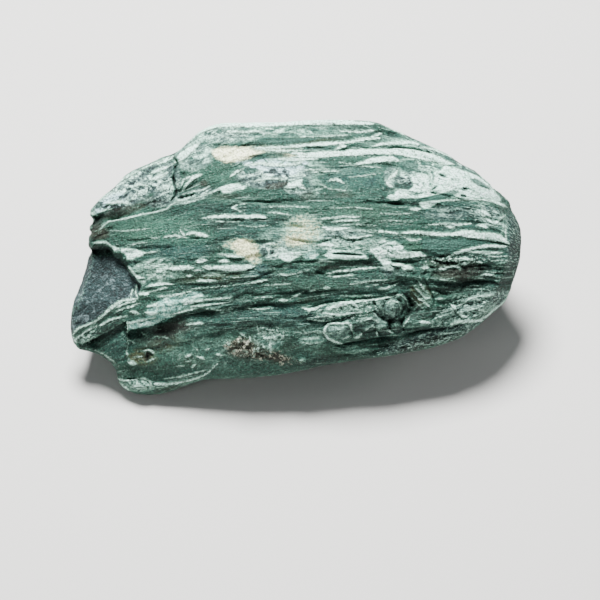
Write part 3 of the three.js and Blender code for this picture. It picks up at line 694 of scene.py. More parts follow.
# The places of the stone's vertices once its face is carved
def carveFace(mesh):
    points, normals = meshArrays(mesh)
    places = toFace(points)
    edge = rimDistance(places[:, 0], places[:, 1])
    share = smoothStep(normals @ outOfRock, *stone["faceTilt"])
    share *= smoothStep(edge, *stone["faceEdge"])
    chosen = share > 0
    height = faceHeight(places[chosen, 0], places[chosen, 1], edge[chosen])
    places[chosen, 2] += share[chosen] * (height - places[chosen, 2])
    return places, normals, edge, share


# How far the joint planes behind the face are worn back: by layers, hollows and grain
def backWear(places, normals, edge, share):
    back = stone["back"]
    layer, _, _, behind = layerInRock(places, normals)
    wear = np.zeros(len(places))
    for thickness, depth, seed in back["layers"]:
        wear += depth * (0.5 - layerSteps(places[:, 0], layer, places[:, 2], thickness, seed))
    wear += back["worn"] * (1 + fractalAt(places / back["wornSize"], 3, back["wornSeed"]))
    thick = smoothStep(-behind + edge * 0.6, *back["thick"])
    ground = smoothStep(fromFace(places)[:, 2], *stone["foot"])
    return wear * (1 - share) * ground * (0.15 + 0.85 * thick)


def buildStone():
    piece = copyOfNode(stone["node"], "serpentineBoulder")
    applyModifier(piece, "REMESH", mode="VOXEL", voxel_size=stone["coarseVoxel"])
    evenOut(piece.data)
    setPoints(piece.data, fromFace(carveFace(piece.data)[0]))
    applyModifier(piece, "REMESH", mode="VOXEL", voxel_size=stone["fineVoxel"])
    print("the face is carved:", len(piece.data.vertices), "vertices")
    # once more, now that the steep steps have vertices
    places, normals, edge, share = carveFace(piece.data)
    px, py = toPixels(places[:, 0], places[:, 1])
    for trim in stone["trims"]:
        places[:, :2] += ellipseShare(trim, px, py)[:, None] * np.array(trim[5])
    points = fromFace(places) - normals * backWear(places, normals, edge, share)[:, None] / 1000
    setPoints(piece.data, np.clip(points, *cadBox))
    triangles = len(piece.data.polygons) * 2
    applyModifier(piece, "DECIMATE", ratio=min(1, stone["mostTriangles"] / triangles))
    setPoints(piece.data, np.clip(meshArrays(piece.data)[0], *cadBox))
    bpy.ops.object.shade_smooth()
    print("the stone has", len(piece.data.polygons), "faces")
    return piece


# Pale veins that run with the layers, by how white they are: [x, y, width] in pixels
veins = {
    "upper left": (0.95, [
        [[178, 160, 6], [184, 155, 8], [190, 150, 7], [196, 146, 5]],
        [[101, 229, 1], [105, 225, 1.4], [109, 221.5, 2], [122, 219.5, 2.2], [130, 218, 2.2],
         [137, 216, 1.8], [147, 214, 1.4], [160, 211.5, 1.4], [167, 210, 1.4], [171, 206, 1.2]],
        [[188, 235, 2], [193, 233.5, 3], [200, 235, 4], [207, 236.5, 3]],
        [[182, 232, 2], [185, 236, 3]],
        [[184, 190, 2], [189, 183, 3], [194, 178, 5], [200, 176, 3]],
        [[152, 173, 2], [158, 171, 4], [168, 167, 2]],
        [[151, 180, 2], [158, 178, 5], [166, 174, 3]],
        [[158, 164, 2], [165, 161.5, 3], [172, 158.5, 2]],
        [[134, 187, 1.5], [140, 184.5, 3], [147, 186, 2]],
        [[108, 204, 2], [115, 203, 3], [121, 202, 4], [128, 204, 1.6]],
        [[99, 213, 1], [104, 211, 1.6], [111, 209, 1]],
        [[90, 213, 3], [95, 215, 2.4], [99, 215.5, 1.2]],
        [[100, 200, 1], [120, 181, 1.6], [140, 170, 1.4], [160, 161, 1.4], [174, 156, 1.4]],
    ]),
    "upper left, faint": (0.5, [
        [[171, 206, 1.4], [176, 203, 2], [184, 201, 2.6], [192, 199, 2], [200, 197.5, 2.4],
         [207, 195, 1.6]],
        [[184, 195, 1.2], [193, 192.5, 2.4], [204, 190, 2], [210, 187, 1.2]],
        [[110, 231, 0.8], [128, 231.5, 1.4], [150, 229, 1]],
        [[128, 246, 1], [141, 243.5, 1.8], [147, 243, 1]], [[152, 238, 2], [158, 239, 2]],
        [[144, 253.5, 1.5], [152, 252.5, 2], [160, 251.5, 1.2]],
        [[165, 238, 2], [175, 236, 3], [186, 238, 2]],
    ]),
    "crest": (0.9, [
        [[184, 144, 3], [190, 139, 4], [198, 131, 5], [207, 127, 6], [220, 124, 6], [260, 124, 6],
         [300, 122, 6], [345, 122, 5], [372, 123, 3]],
        [[255, 149, 2], [262, 148, 2.5], [285, 148, 3], [300, 146, 3], [320, 144.5, 4],
         [345, 143, 3], [362, 140, 2.5], [380, 138, 2]],
        [[378, 121, 1], [392, 128, 3], [404, 134, 1.5]],
        [[340, 131, 1.5], [360, 132, 2.4], [375, 130, 1.5]],
        [[355, 139, 1.5], [370, 138, 1.5], [380, 134, 3]],
        [[300, 157, 5], [320, 155, 7], [342, 154, 5], [350, 153, 7], [362, 152.5, 7], [375, 152, 6],
         [388, 152, 6], [400, 151.5, 8], [412, 153.5, 9], [425, 156, 9], [435, 158, 8],
         [443, 162, 6], [452, 164, 3]],
        [[293, 154, 2], [298, 154, 4], [304, 154, 2]],
        [[336, 150, 2], [341, 147, 4], [346, 146, 2]],
        [[372, 147, 1], [380, 144.5, 3], [392, 143.5, 4], [410, 142, 4], [418, 144, 3]],
        [[424, 147, 1.5], [436, 150, 2.5], [444, 154, 1.5]],
        [[355, 165, 1.5], [365, 163, 4], [375, 160.5, 6], [385, 159.5, 6], [393, 159, 5],
         [398, 161, 2]],
        [[280, 160, 3], [300, 160, 4], [318, 159, 2]],
    ]),
    "crest, faint": (0.55, [
        [[255, 149.5, 2], [280, 151, 3], [300, 151, 2]],
        [[290, 170, 1], [310, 170.5, 2], [330, 170, 1]],
        [[310, 173, 1], [325, 172, 2], [340, 172, 1]],
        [[245, 166, 2], [262, 164, 4], [285, 166, 4], [302, 163, 3]],
        [[231, 177, 2], [236, 173, 4], [242, 170.5, 2]],
        [[330, 181, 2], [337, 180, 4], [343, 184, 2]],
        [[350, 178, 1], [365, 176, 2], [380, 174, 1]],
        [[182, 186, 2], [184, 181, 3], [190, 177, 2]],
        [[318, 184, 1], [330, 190, 2], [350, 192, 1]],
        [[255, 182, 2], [270, 179, 3], [284, 180, 2]],
        [[340, 163, 0.8], [360, 167, 1.2], [380, 168, 0.8]],
        [[228, 131, 3], [245, 132, 3], [262, 131, 2]],
        [[300, 137, 1.5], [330, 136, 2], [350, 135, 1.5]],
    ]),
    "upper middle": (0.92, [
        [[205, 195.5, 1], [213, 193, 2], [220, 190, 2]],
        [[290, 187, 6], [297, 185, 8], [302, 188, 4]],
        [[204, 219, 1], [212, 218, 3], [224, 217, 4], [235, 217.5, 3], [247, 218, 3.5],
         [258, 217, 4], [264, 218, 3], [268, 219, 1]],
        [[320, 220, 1], [335, 218.5, 2], [345, 217.5, 2.8], [359, 217.5, 1.5]],
        [[333, 222.5, 1.2], [345, 221.5, 2], [358, 221, 1.4]],
        [[245, 204.5, 1], [240, 205, 1.5], [233, 208, 1.6], [238, 211, 1.2], [244, 214, 1]],
        [[322, 228, 2], [333, 230, 4], [345, 229, 3]],
        [[345, 239, 2], [358, 238, 2.6], [371, 236, 1.6]],
        [[318, 246, 3], [326, 245, 5], [333, 246, 3]],
    ]),
    "upper middle, faint": (0.5, [
        [[209, 221.5, 0.8], [225, 222.5, 1.2], [240, 222.5, 0.8]],
        [[240, 226, 0.8], [256, 228, 1.6], [270, 226, 0.8]],
        [[262, 208, 0.8], [285, 207, 1.4], [310, 208, 0.8]],
        [[330, 209, 0.8], [350, 208, 1.6], [372, 210, 0.8]],
        [[340, 226, 1], [355, 225, 1.6], [375, 226, 1]],
        [[352, 231, 1], [362, 231, 2], [372, 233, 1]],
        [[380, 214, 1], [395, 215, 1.6], [410, 214, 1]],
        [[378, 222, 1], [392, 221, 1.6], [412, 222, 1]],
        [[268, 213, 1], [280, 214, 2], [292, 216, 1]],
    ]),
    "upper right": (0.95, [
        [[441, 201, 1.5], [470, 199.5, 2], [485, 200, 2], [497, 202, 4], [505, 206, 3]],
        [[412, 210, 3], [418, 210, 3]],
        [[427, 225.5, 1.2], [440, 224.5, 2], [455, 225, 2.8], [470, 224, 1.4]],
        [[446, 227, 2], [450, 227.5, 3.6], [454, 227, 1.5]],
        [[370, 231, 1], [385, 232, 2], [396, 234, 2]],
        [[403, 233.5, 2], [412, 232.5, 3], [425, 234, 3.4], [440, 235, 3.6], [452, 235, 3.4],
         [461, 233.5, 6], [468, 234.5, 8], [478, 236, 7], [490, 237, 8], [500, 238.5, 7],
         [507, 243, 3]],
        [[448, 257, 1.2], [454, 254.5, 2.4], [461, 252, 3.4], [475, 248, 3.2], [490, 246, 3.6],
         [505, 246.5, 2.6]],
        [[482, 216, 2.5], [490, 222, 3], [494, 224, 3.4], [500, 219, 3], [505, 215.5, 1.6]],
        [[505.5, 226, 1.2], [505, 233, 2.2], [506.5, 242, 1.2]],
        [[397.5, 170, 1.2], [395, 175, 3.4], [391, 177.5, 4.6], [388, 180, 2]],
        [[387.5, 184, 4], [389.5, 186, 4]], [[403, 238, 1], [411, 241, 2], [419, 240, 1]],
        [[479, 211, 2], [485, 213, 4], [489, 216, 3]],
        [[478, 226, 2], [483, 226, 4], [487, 228, 2]],
    ]),
    "upper right, faint": (0.5, [
        [[466, 252, 2], [484, 253, 4], [500, 253, 3]],
        [[480, 256, 1], [495, 257, 1.6], [508, 256, 1]],
        [[490, 261, 0.8], [502, 260, 1.4], [514, 262, 0.8]],
        [[492, 266, 0.8], [503, 267, 1.4], [515, 266, 0.8]],
        [[486, 272, 1], [500, 273, 1.6], [513, 271, 1]],
        [[494, 278, 1], [503, 278, 1.8], [513, 277, 1]],
        [[480, 276, 1.6], [487, 274, 2.4], [494, 276, 1.6]],
    ]),
    "middle": (0.97, [
        [[168, 269.5, 1.6], [174, 269, 4], [180, 268.5, 5], [190, 268, 4.4], [194, 268, 2]],
        [[194, 271, 1.2], [203, 270.5, 1.6]], [[208, 268, 4.6], [211, 268.4, 4.6]],
        [[215, 268, 4], [225, 268.5, 6], [238, 269, 6.4], [247, 268, 5.4], [253, 267, 3]],
        [[220, 254.5, 1], [228, 256, 3], [236, 257, 3], [244, 258, 1.6]],
        [[200, 261.5, 4], [203, 261, 5], [205.5, 261, 3]],
        [[221, 262, 2], [226, 261.5, 4], [229, 262, 2]],
        [[200, 281, 2.4], [209, 281, 3], [217, 281, 1.6]],
        [[194, 289, 0.2], [203, 288, 0.5], [215, 287.5, 0.5], [230, 286, 0.5], [243, 284, 0.4],
         [249, 284, 1.4], [258, 282, 2.4], [267, 280.5, 1.4]],
        [[186, 304, 3], [191, 302.5, 3.6], [205, 300, 2], [220, 299, 1.8], [231, 298, 1]],
        [[192, 307, 1.2], [205, 305.5, 2], [215, 304.5, 1.6], [233, 301.5, 1.2]],
        [[172, 314.5, 1], [182, 312, 1.6], [190, 310, 1.4], [197, 308, 1]],
        [[208, 309, 1], [220, 310.5, 1.6], [232, 309, 1]],
        [[149, 306.5, 2], [155, 305, 3], [158, 304, 1.6]],
        [[148.5, 313, 3], [153, 314, 3.4], [158, 313, 1.6]],
        [[292, 298, 1], [296, 296, 1.8], [299, 294, 1.8], [303, 292, 1.2]],
        [[311, 291, 2], [316, 290, 1.6]], [[325.5, 288.4, 2.6], [328, 288.2, 2.6]],
        [[350, 284.5, 1.2], [360, 283, 1.6], [370, 281.5, 1.4], [386, 280, 1]],
        [[327, 274, 0.8], [338, 271.5, 1.6], [348, 270.5, 2.6], [360, 269, 2.2], [378, 268, 1.2]],
        [[327, 276, 1], [337, 277, 1.6], [352, 275.5, 1.6]],
        [[317, 262, 1.6], [326, 261.5, 2.4], [332, 262, 1.4]],
        [[282, 275.5, 1.6], [288, 275.5, 1.6]],
        [[303, 308, 1.6], [309, 310, 4], [314, 309, 3], [323, 305.5, 1.4]],
        [[328, 309, 2], [336, 306, 4], [344, 303.5, 5], [351, 302, 4], [356, 306, 3]],
        [[328, 314, 2], [340, 315, 2.4], [352, 313, 2], [362, 312, 1.4]],
    ]),
    "middle, faint": (0.55, [
        [[278, 275, 1], [290, 275, 1.6], [300, 272.5, 1.4], [308, 270.5, 1]],
        [[222, 277, 0.8], [240, 278, 1.2], [258, 276, 0.8]], [[282, 300.5, 3.4], [285, 300.3, 3.4]],
        [[262, 286, 0.8], [275, 285, 1.6], [290, 284, 0.8]],
        [[255, 298, 1], [262, 297, 1.6], [275, 298, 1]],
        [[245, 308, 1], [258, 309, 2], [272, 308, 1]],
        [[308, 319, 1.4], [318, 320.5, 2], [330, 321, 1.4]],
        [[320, 317, 1], [328, 316, 2.6], [336, 318, 1]],
        [[295, 332, 0.8], [306, 333, 1.8], [318, 331, 0.8]],
        [[302, 342, 0.8], [312, 344, 1.8], [322, 342, 0.8]],
        [[365, 287, 0.8], [380, 284, 1.2], [395, 281, 0.8]],
        [[340, 296, 1], [356, 296, 3], [372, 296, 1]],
        [[188, 276, 2], [190.5, 276, 3.4], [192, 276, 2]], [[200, 277, 1], [213, 275.5, 1.2]],
    ]),
    "right": (0.95, [
        [[379, 243, 3], [384, 242, 2.5]],
        [[388, 256, 4], [400, 257, 5], [410, 255, 6], [424, 256, 2]],
        [[392, 264.5, 3], [399, 265, 4.5], [403, 266, 3]], [[405, 268, 6], [408, 268, 6]],
        [[423, 268, 3], [426, 268, 3.6]], [[439, 269, 2], [444, 269, 2.6], [448, 268, 1.5]],
        [[450, 267.5, 2], [454, 266.5, 2.6], [459, 268, 1.6]], [[461, 264, 3], [465, 264, 3]],
        [[458, 259, 2], [464, 259, 3], [469, 260, 2]],
        [[381, 289, 3.4], [385, 289, 2.6], [390, 286.5, 1.4], [398, 283, 1]],
        [[350, 303, 2.4], [357, 301.5, 2.6], [375, 299.5, 1.6], [390, 297, 1.6]],
        [[324, 333, 2], [325, 328, 3], [329, 324, 2.4], [334, 322.5, 2.4], [341, 324, 2.4],
         [347, 322.5, 3], [350, 325, 3], [352, 331, 2]],
        [[324, 333, 2.4], [328, 338, 3], [334, 341, 3], [341, 343, 2]],
        [[342, 338.5, 1.4], [346, 337.5, 2], [349, 336, 1.2]],
        [[354, 338, 1.6], [358, 337, 2.6], [361, 334, 1.6]],
        [[403, 326, 1], [406, 321, 1.6], [409, 317, 1]],
        [[459, 314, 2.4], [462, 316, 4], [465, 317, 2.4]], [[389, 331.5, 2.8], [390, 332, 2.8]],
        [[376.5, 332, 2.6], [377, 335, 1.8]], [[418, 282, 1.4], [421, 286, 2.6], [424, 291, 1.4]],
        [[414, 287, 1], [419, 292, 2.2], [425, 299, 1.4]],
        [[413, 293, 1], [419, 299, 2], [428, 306, 1]], [[438, 299, 2], [441, 299, 2]],
        [[451, 305, 2], [454, 307.5, 4.2], [455, 309, 2]],
        [[458, 305.5, 1.4], [464, 303, 1.8], [469, 298.5, 1.8], [478, 296.5, 1.6], [488, 296, 1.8]],
        [[421, 322, 3], [425, 322, 4], [430, 323, 2]],
        [[484, 297, 2], [488, 296, 3], [493, 295, 1.5]],
        [[450, 325, 1.6], [456, 322.5, 2.6], [462, 321.5, 3.4], [482, 320.5, 3.4]],
        [[480, 320, 2], [488, 316, 3], [497, 309, 4], [505, 303, 4], [510, 295, 2]],
    ]),
    "right, faint": (0.55, [
        [[440, 280, 1.4], [447, 280.5, 2], [456, 281, 1.4]],
        [[386, 303, 1], [391, 300.5, 1.4], [397, 302, 1.4], [400, 307, 1.4], [399, 313, 1.2]],
        [[393, 294.5, 1], [400, 295, 1.4], [406, 300, 1.4], [408, 307, 1.2]],
        [[411, 298, 0.8], [416, 303, 1.2], [422, 308, 0.8]],
        [[467, 287, 0.8], [473, 285.5, 1.4], [480, 286, 0.8]],
        [[470, 278, 1], [478, 278, 1.8], [486, 279, 1]],
        [[360, 322, 2], [370, 318, 2], [378, 322, 2]],
        [[365, 330, 1.4], [372, 326, 2], [378, 328, 1.4]],
        [[468, 308, 1.4], [480, 310, 2], [490, 313, 1.4]],
        [[462, 296, 1], [476, 299, 2], [488, 304, 1]],
        [[440, 334, 2], [450, 333, 3], [462, 331, 2]],
    ]),
    "lower left": (0.95, [
        [[95, 243, 1.4], [101, 243, 2.6], [107, 243, 2.2], [111, 245, 1.2]],
        [[113, 247, 1.4], [116, 249.5, 4], [119, 249, 1.6]],
        [[130, 268, 2], [134, 273, 3], [139, 278, 3.4], [144, 278, 2]],
        [[148, 287, 1.6], [153, 285.5, 3], [160, 284, 3.8], [168, 284, 2.4], [173, 284.5, 1.2]],
        [[150, 292, 1], [160, 289.5, 1.6], [169, 286.5, 1.2]],
        [[141, 294, 3], [146, 294, 4], [149, 293, 2]],
        [[137, 286, 1.6], [136, 292, 1.8], [138, 297, 1.6]],
        [[133, 290, 1.6], [131.5, 295, 1.8], [131, 299, 1.6]],
        [[160, 297, 1.4], [172, 296, 1.8], [182, 294, 1.6], [192, 291.5, 1]],
        [[127, 323.5, 2.4], [135, 322, 2.4], [145, 320, 2], [156, 317.5, 1.4]],
        [[127.5, 324, 2], [127.5, 332, 2]],
        [[72, 335, 2], [78, 328, 2], [85, 326, 2], [95, 322, 2.4], [103, 316, 2.4], [109, 310, 3.4],
         [119, 303, 3.4], [126, 300, 2.4], [138, 299, 1.4]],
        [[116, 308, 2], [122, 305, 2.4], [128, 303, 2.2], [136, 301, 1.4]],
        [[118, 311, 1.4], [124, 309, 2.2], [132, 306, 2], [140, 303.5, 1.4]],
        [[96, 327, 1.4], [103, 324, 2.4], [110, 320, 2.2], [127, 316, 1.2]],
        [[74, 340, 2], [80, 335, 2], [88, 330, 2], [97, 326, 1.4]], [[72, 338, 3], [74, 341, 3]],
        [[81, 335, 3], [83, 337, 3]], [[83, 342, 2], [88, 341, 1.4]],
        [[133, 312, 3], [137, 313, 3.4]],
        [[187, 325, 1.2], [193, 324, 2], [200, 323, 3], [204, 324, 1.6]],
        [[150, 262.5, 2.4], [153, 261, 3.4]],
        [[118, 380, 2], [124, 381, 2.2], [131, 380.5, 2], [138, 378.5, 2], [146, 380, 2],
         [150, 383, 2.2], [151, 386, 2]],
        [[186.5, 356.5, 2], [189.5, 355.5, 2.6]], [[198.5, 357, 2.4], [203, 358.5, 2.6]],
        [[192.5, 367, 1.8], [195, 365, 2.2]], [[217, 354.5, 2.2], [221, 355, 2.4]],
        [[206.5, 350, 1.6], [209, 348.7, 2]], [[196, 348.5, 1.4], [197.5, 350, 1.6]],
        [[187.5, 361.5, 1.6], [190, 361, 1.6]], [[143, 333.5, 1.6], [147, 335.5, 2]],
        [[143.5, 351, 1.6], [149, 350.5, 2], [153, 352.5, 2]], [[149.5, 361, 2], [153, 359.5, 2.4]],
        [[155, 384.5, 3], [165, 385, 3.4], [175, 383.5, 2.4], [185, 381.5, 2], [195, 379, 2],
         [203, 376, 2], [209, 372, 1.5], [214, 367, 1.5], [218, 363, 1.5]],
        [[118, 384, 2], [123, 388, 3], [128, 391, 2]],
        [[133, 387, 2], [138, 386, 2.4], [143, 387, 2]],
    ]),
    "lower left, faint": (0.5, [
        [[131, 363, 5.4], [133, 363.5, 5.4]], [[129, 340.5, 2], [133, 342.5, 2.4]],
        [[134, 357, 1.6], [142, 356.5, 2]], [[229, 344, 4.4], [231, 345, 4.4]],
        [[241.5, 334, 2.4], [245.5, 336.5, 2.6]], [[250, 338, 2.4], [250.5, 339.5, 2.4]],
        [[265, 338, 2.6], [269, 337.5, 4], [271.5, 338, 3]], [[274, 338.5, 2.6], [276, 339, 2.6]],
        [[270.5, 342, 3], [270.5, 348, 4], [271, 352, 2.6]], [[263, 344, 1.6], [264, 347, 2.4]],
        [[254, 352, 2.6], [254.5, 356, 3]], [[280, 340, 1.8], [283.5, 336, 1.8], [284, 331, 1.4]],
        [[257.5, 327, 1.4], [258.5, 331, 1.6], [262, 334, 1.2]],
        [[274, 331, 2.2], [275.5, 332.5, 2.2]], [[95, 351, 1.4], [103, 354.5, 2], [110, 360, 2]],
        [[100, 353, 1], [108, 357, 1.4], [114, 363, 1]],
        [[174, 367, 1], [178, 366, 2], [184, 366, 1]], [[164, 337.5, 2], [167, 338, 2]],
        [[165, 379, 1.4], [180, 377, 2], [195, 373, 2], [206, 370, 1.4]],
        [[127, 336, 1], [128, 344, 1.2], [126.5, 352, 1.4], [128, 360, 0.8]],
    ]),
}

# Patches with an outline of their own
patches = {
    "white": [
        [(412, 177), (420, 174), (430, 174), (440, 170), (445, 165), (452, 166), (462, 170),
         (470, 172), (480, 176), (488, 183), (495, 190), (502, 198), (500, 203), (490, 200),
         (475, 199), (460, 199), (450, 194), (440, 195), (430, 197), (420, 199), (405, 199),
         (399, 198.5), (397, 201), (391, 201), (386, 198), (389, 195), (393, 195.5), (395, 191.5),
         (400, 189), (408, 190), (413, 186), (410, 180)],
        [(418, 203), (425, 201.5), (441, 201), (436, 204), (430, 207.5), (424, 209), (419, 207)],
        [(215, 191), (222, 187), (230, 184.5), (240, 184.5), (247, 187), (243, 189.5), (235, 191),
         (230, 194.5), (224, 194), (221, 191.5)],
        [(369, 249), (378, 247), (385, 243), (395, 242), (398, 244), (404, 247), (401, 250),
         (408, 251.5), (420, 252), (423, 255), (415, 257), (405, 258), (395, 259), (390, 258),
         (391, 262), (388, 268), (384, 268), (380, 263), (376, 259), (373, 256), (369, 252)],
        [(324, 256), (327, 252), (334, 250.5), (345, 251), (356, 251), (362, 253), (367, 257),
         (368, 259.5), (360, 260), (345, 260), (332, 259), (326, 258)],
        [(280, 254), (290, 252), (298, 252.5), (303, 255), (296, 259), (290, 263), (283, 261),
         (278, 258)],
        [(110, 246), (114, 246.5), (119, 248.5), (126, 248), (134, 249), (141, 250.5), (147, 253.5),
         (141, 257), (134, 259.5), (127.5, 261), (126.5, 255), (121, 251.5), (115, 251)],
    ],
    "cream": [
        [(211, 150), (218, 147.5), (230, 146.5), (250, 147), (270, 147.5), (288, 147), (306, 146.5),
         (300, 149), (285, 150.5), (267, 151.5), (262, 155), (254, 157), (252, 159.5), (245, 161),
         (237, 162), (232, 163), (224, 163.5), (220, 160), (213, 158), (211, 155)],
        [(268, 156), (280, 155.5), (292, 154), (300, 152.5), (303, 154), (296, 156.5), (284, 158),
         (270, 158.5)],
    ],
    "blueWhite": [
        [(241, 162), (260, 160), (303, 158), (309, 163), (304, 171), (285, 177), (268, 175),
         (262, 170), (250, 169)],
        [(95, 206), (102, 199), (112, 193), (124, 194), (126, 203), (118, 209), (106, 210),
         (97, 214)],
    ],
    # dark green lenses and streaks of the rock; the thin ones in the crack at x 173-178 and the
    # slot at x 332-362, and the small marks on the cracks at x 430-466, are painted shade in those
    # cracks
    "lens": [
        [(418, 240), (430, 238), (445, 237.5), (458, 239), (470, 241), (485, 242), (505, 243),
         (498, 245), (480, 245), (468, 246.5), (458, 249), (450, 253), (440, 256), (430, 256),
         (424, 251), (420, 246)],
        [(412, 200.5), (425, 198), (437, 195), (445, 192.5), (455, 190.5), (460, 192), (450, 197),
         (438, 200.5), (425, 202)],
        [(470, 178.5), (477, 179.5), (484, 183), (492, 189.5), (487, 189), (480, 187),
         (473, 183.5)],
        [(173, 157), (176, 160), (178.5, 165), (177, 169), (175.5, 173), (175, 178), (175.5, 184),
         (177.5, 190), (177.5, 196), (174, 200), (174, 195), (174.5, 189), (172.7, 183),
         (171.8, 177), (173, 171), (175, 166), (173, 161)],
        [(332, 253.2), (346, 253.4), (361, 254.6), (362, 256), (346, 255.8), (332, 255)],
        [(430, 171), (433, 172.5), (434.5, 176), (433.5, 181), (431, 183), (432, 177)],
        [(431, 189), (436, 185.5), (438, 186.5), (434, 190)],
        [(430, 192.5), (433, 191.5), (434.5, 194), (431, 195)],
        [(438, 175.5), (443, 175), (446, 177.5), (442, 178)],
        [(460, 188.5), (465, 187.5), (468, 190), (462, 191)],
        [(460, 195.5), (465, 195), (466, 197.5), (461, 198)],
        [(451, 178.5), (457, 179), (456, 181), (451, 180.5)],
        [(392, 184), (399, 184.5), (405, 183.5), (412, 186), (411, 189), (404, 190), (396, 188.5)],
        [(408.5, 194), (412, 194), (412, 196.5), (409, 196.5)],
        [(414, 193.5), (417, 194), (416.5, 197), (414, 196.5)],
        [(413, 139.5), (424, 143), (434, 148), (430, 149.5), (420, 146.5)],
        [(435, 149), (446, 155), (456, 162), (463, 168), (455, 166.5), (445, 161), (437, 154)],
        [(464, 167.5), (476, 172.5), (479, 176), (468, 172)],
        [(385, 132), (392, 130.5), (402, 135), (404, 137), (395, 137.5), (387, 136)],
        [(236, 129), (240, 126.5), (246, 126.5), (249, 130), (247, 133), (241, 133)],
        [(225, 130), (229, 127), (231.5, 129), (228, 132.5)],
        [(215, 132.5), (219.5, 128.5), (222, 130), (219, 134)],
        [(262, 131), (268, 129.5), (275, 129.5), (277, 131.5), (268, 133), (262, 133)],
        [(250, 135), (258, 132.8), (263, 134.5), (256, 136)],
        [(280, 133.5), (288, 132.5), (294, 134), (288, 136), (281, 135.5)],
        [(255, 141), (265, 138), (280, 138), (296, 138.5), (310, 138), (322, 138.5), (308, 142),
         (290, 144), (268, 144)],
        [(304, 128), (312, 128), (321, 130), (314, 131.5), (307, 130.5)],
        [(196.5, 154), (200, 152), (203, 154), (199, 156)],
        [(198, 144), (204, 141.5), (209, 141.5), (205, 144.5)],
        [(187, 159), (192, 156.5), (194, 160), (189, 162)],
        [(244, 170), (250, 168.5), (257, 169), (260, 171.5), (252, 174), (246, 174)],
        [(302, 178), (306, 176.5), (308.5, 182), (311, 189), (306, 187.5), (303, 184)],
        [(256, 155.5), (266, 154), (280, 155), (291, 155.5), (284, 158.5), (268, 159), (257, 159)],
        [(401, 162), (409, 160.5), (417, 161.5), (418.5, 166), (415, 171), (407, 172.3),
         (401, 169.5), (399.5, 165)],
        [(385, 153.5), (403, 154), (402, 159), (387, 159)],
        [(420, 161), (432, 162), (431, 166), (421, 166)],
    ],
    "slate": [
        [(60, 290), (66, 266), (84, 257), (98, 256), (112, 256.5), (120, 259), (127, 268),
         (136, 277), (142, 286), (138, 297), (128, 300), (118, 303), (105, 313), (90, 323),
         (60, 340)],
    ],
    "soil": [
        [(225, 347), (229, 341), (240, 337), (250, 340), (256, 349), (268, 353), (280, 352),
         (290, 357), (300, 361), (290, 364), (270, 362), (250, 358), (232, 355)],
    ],
}
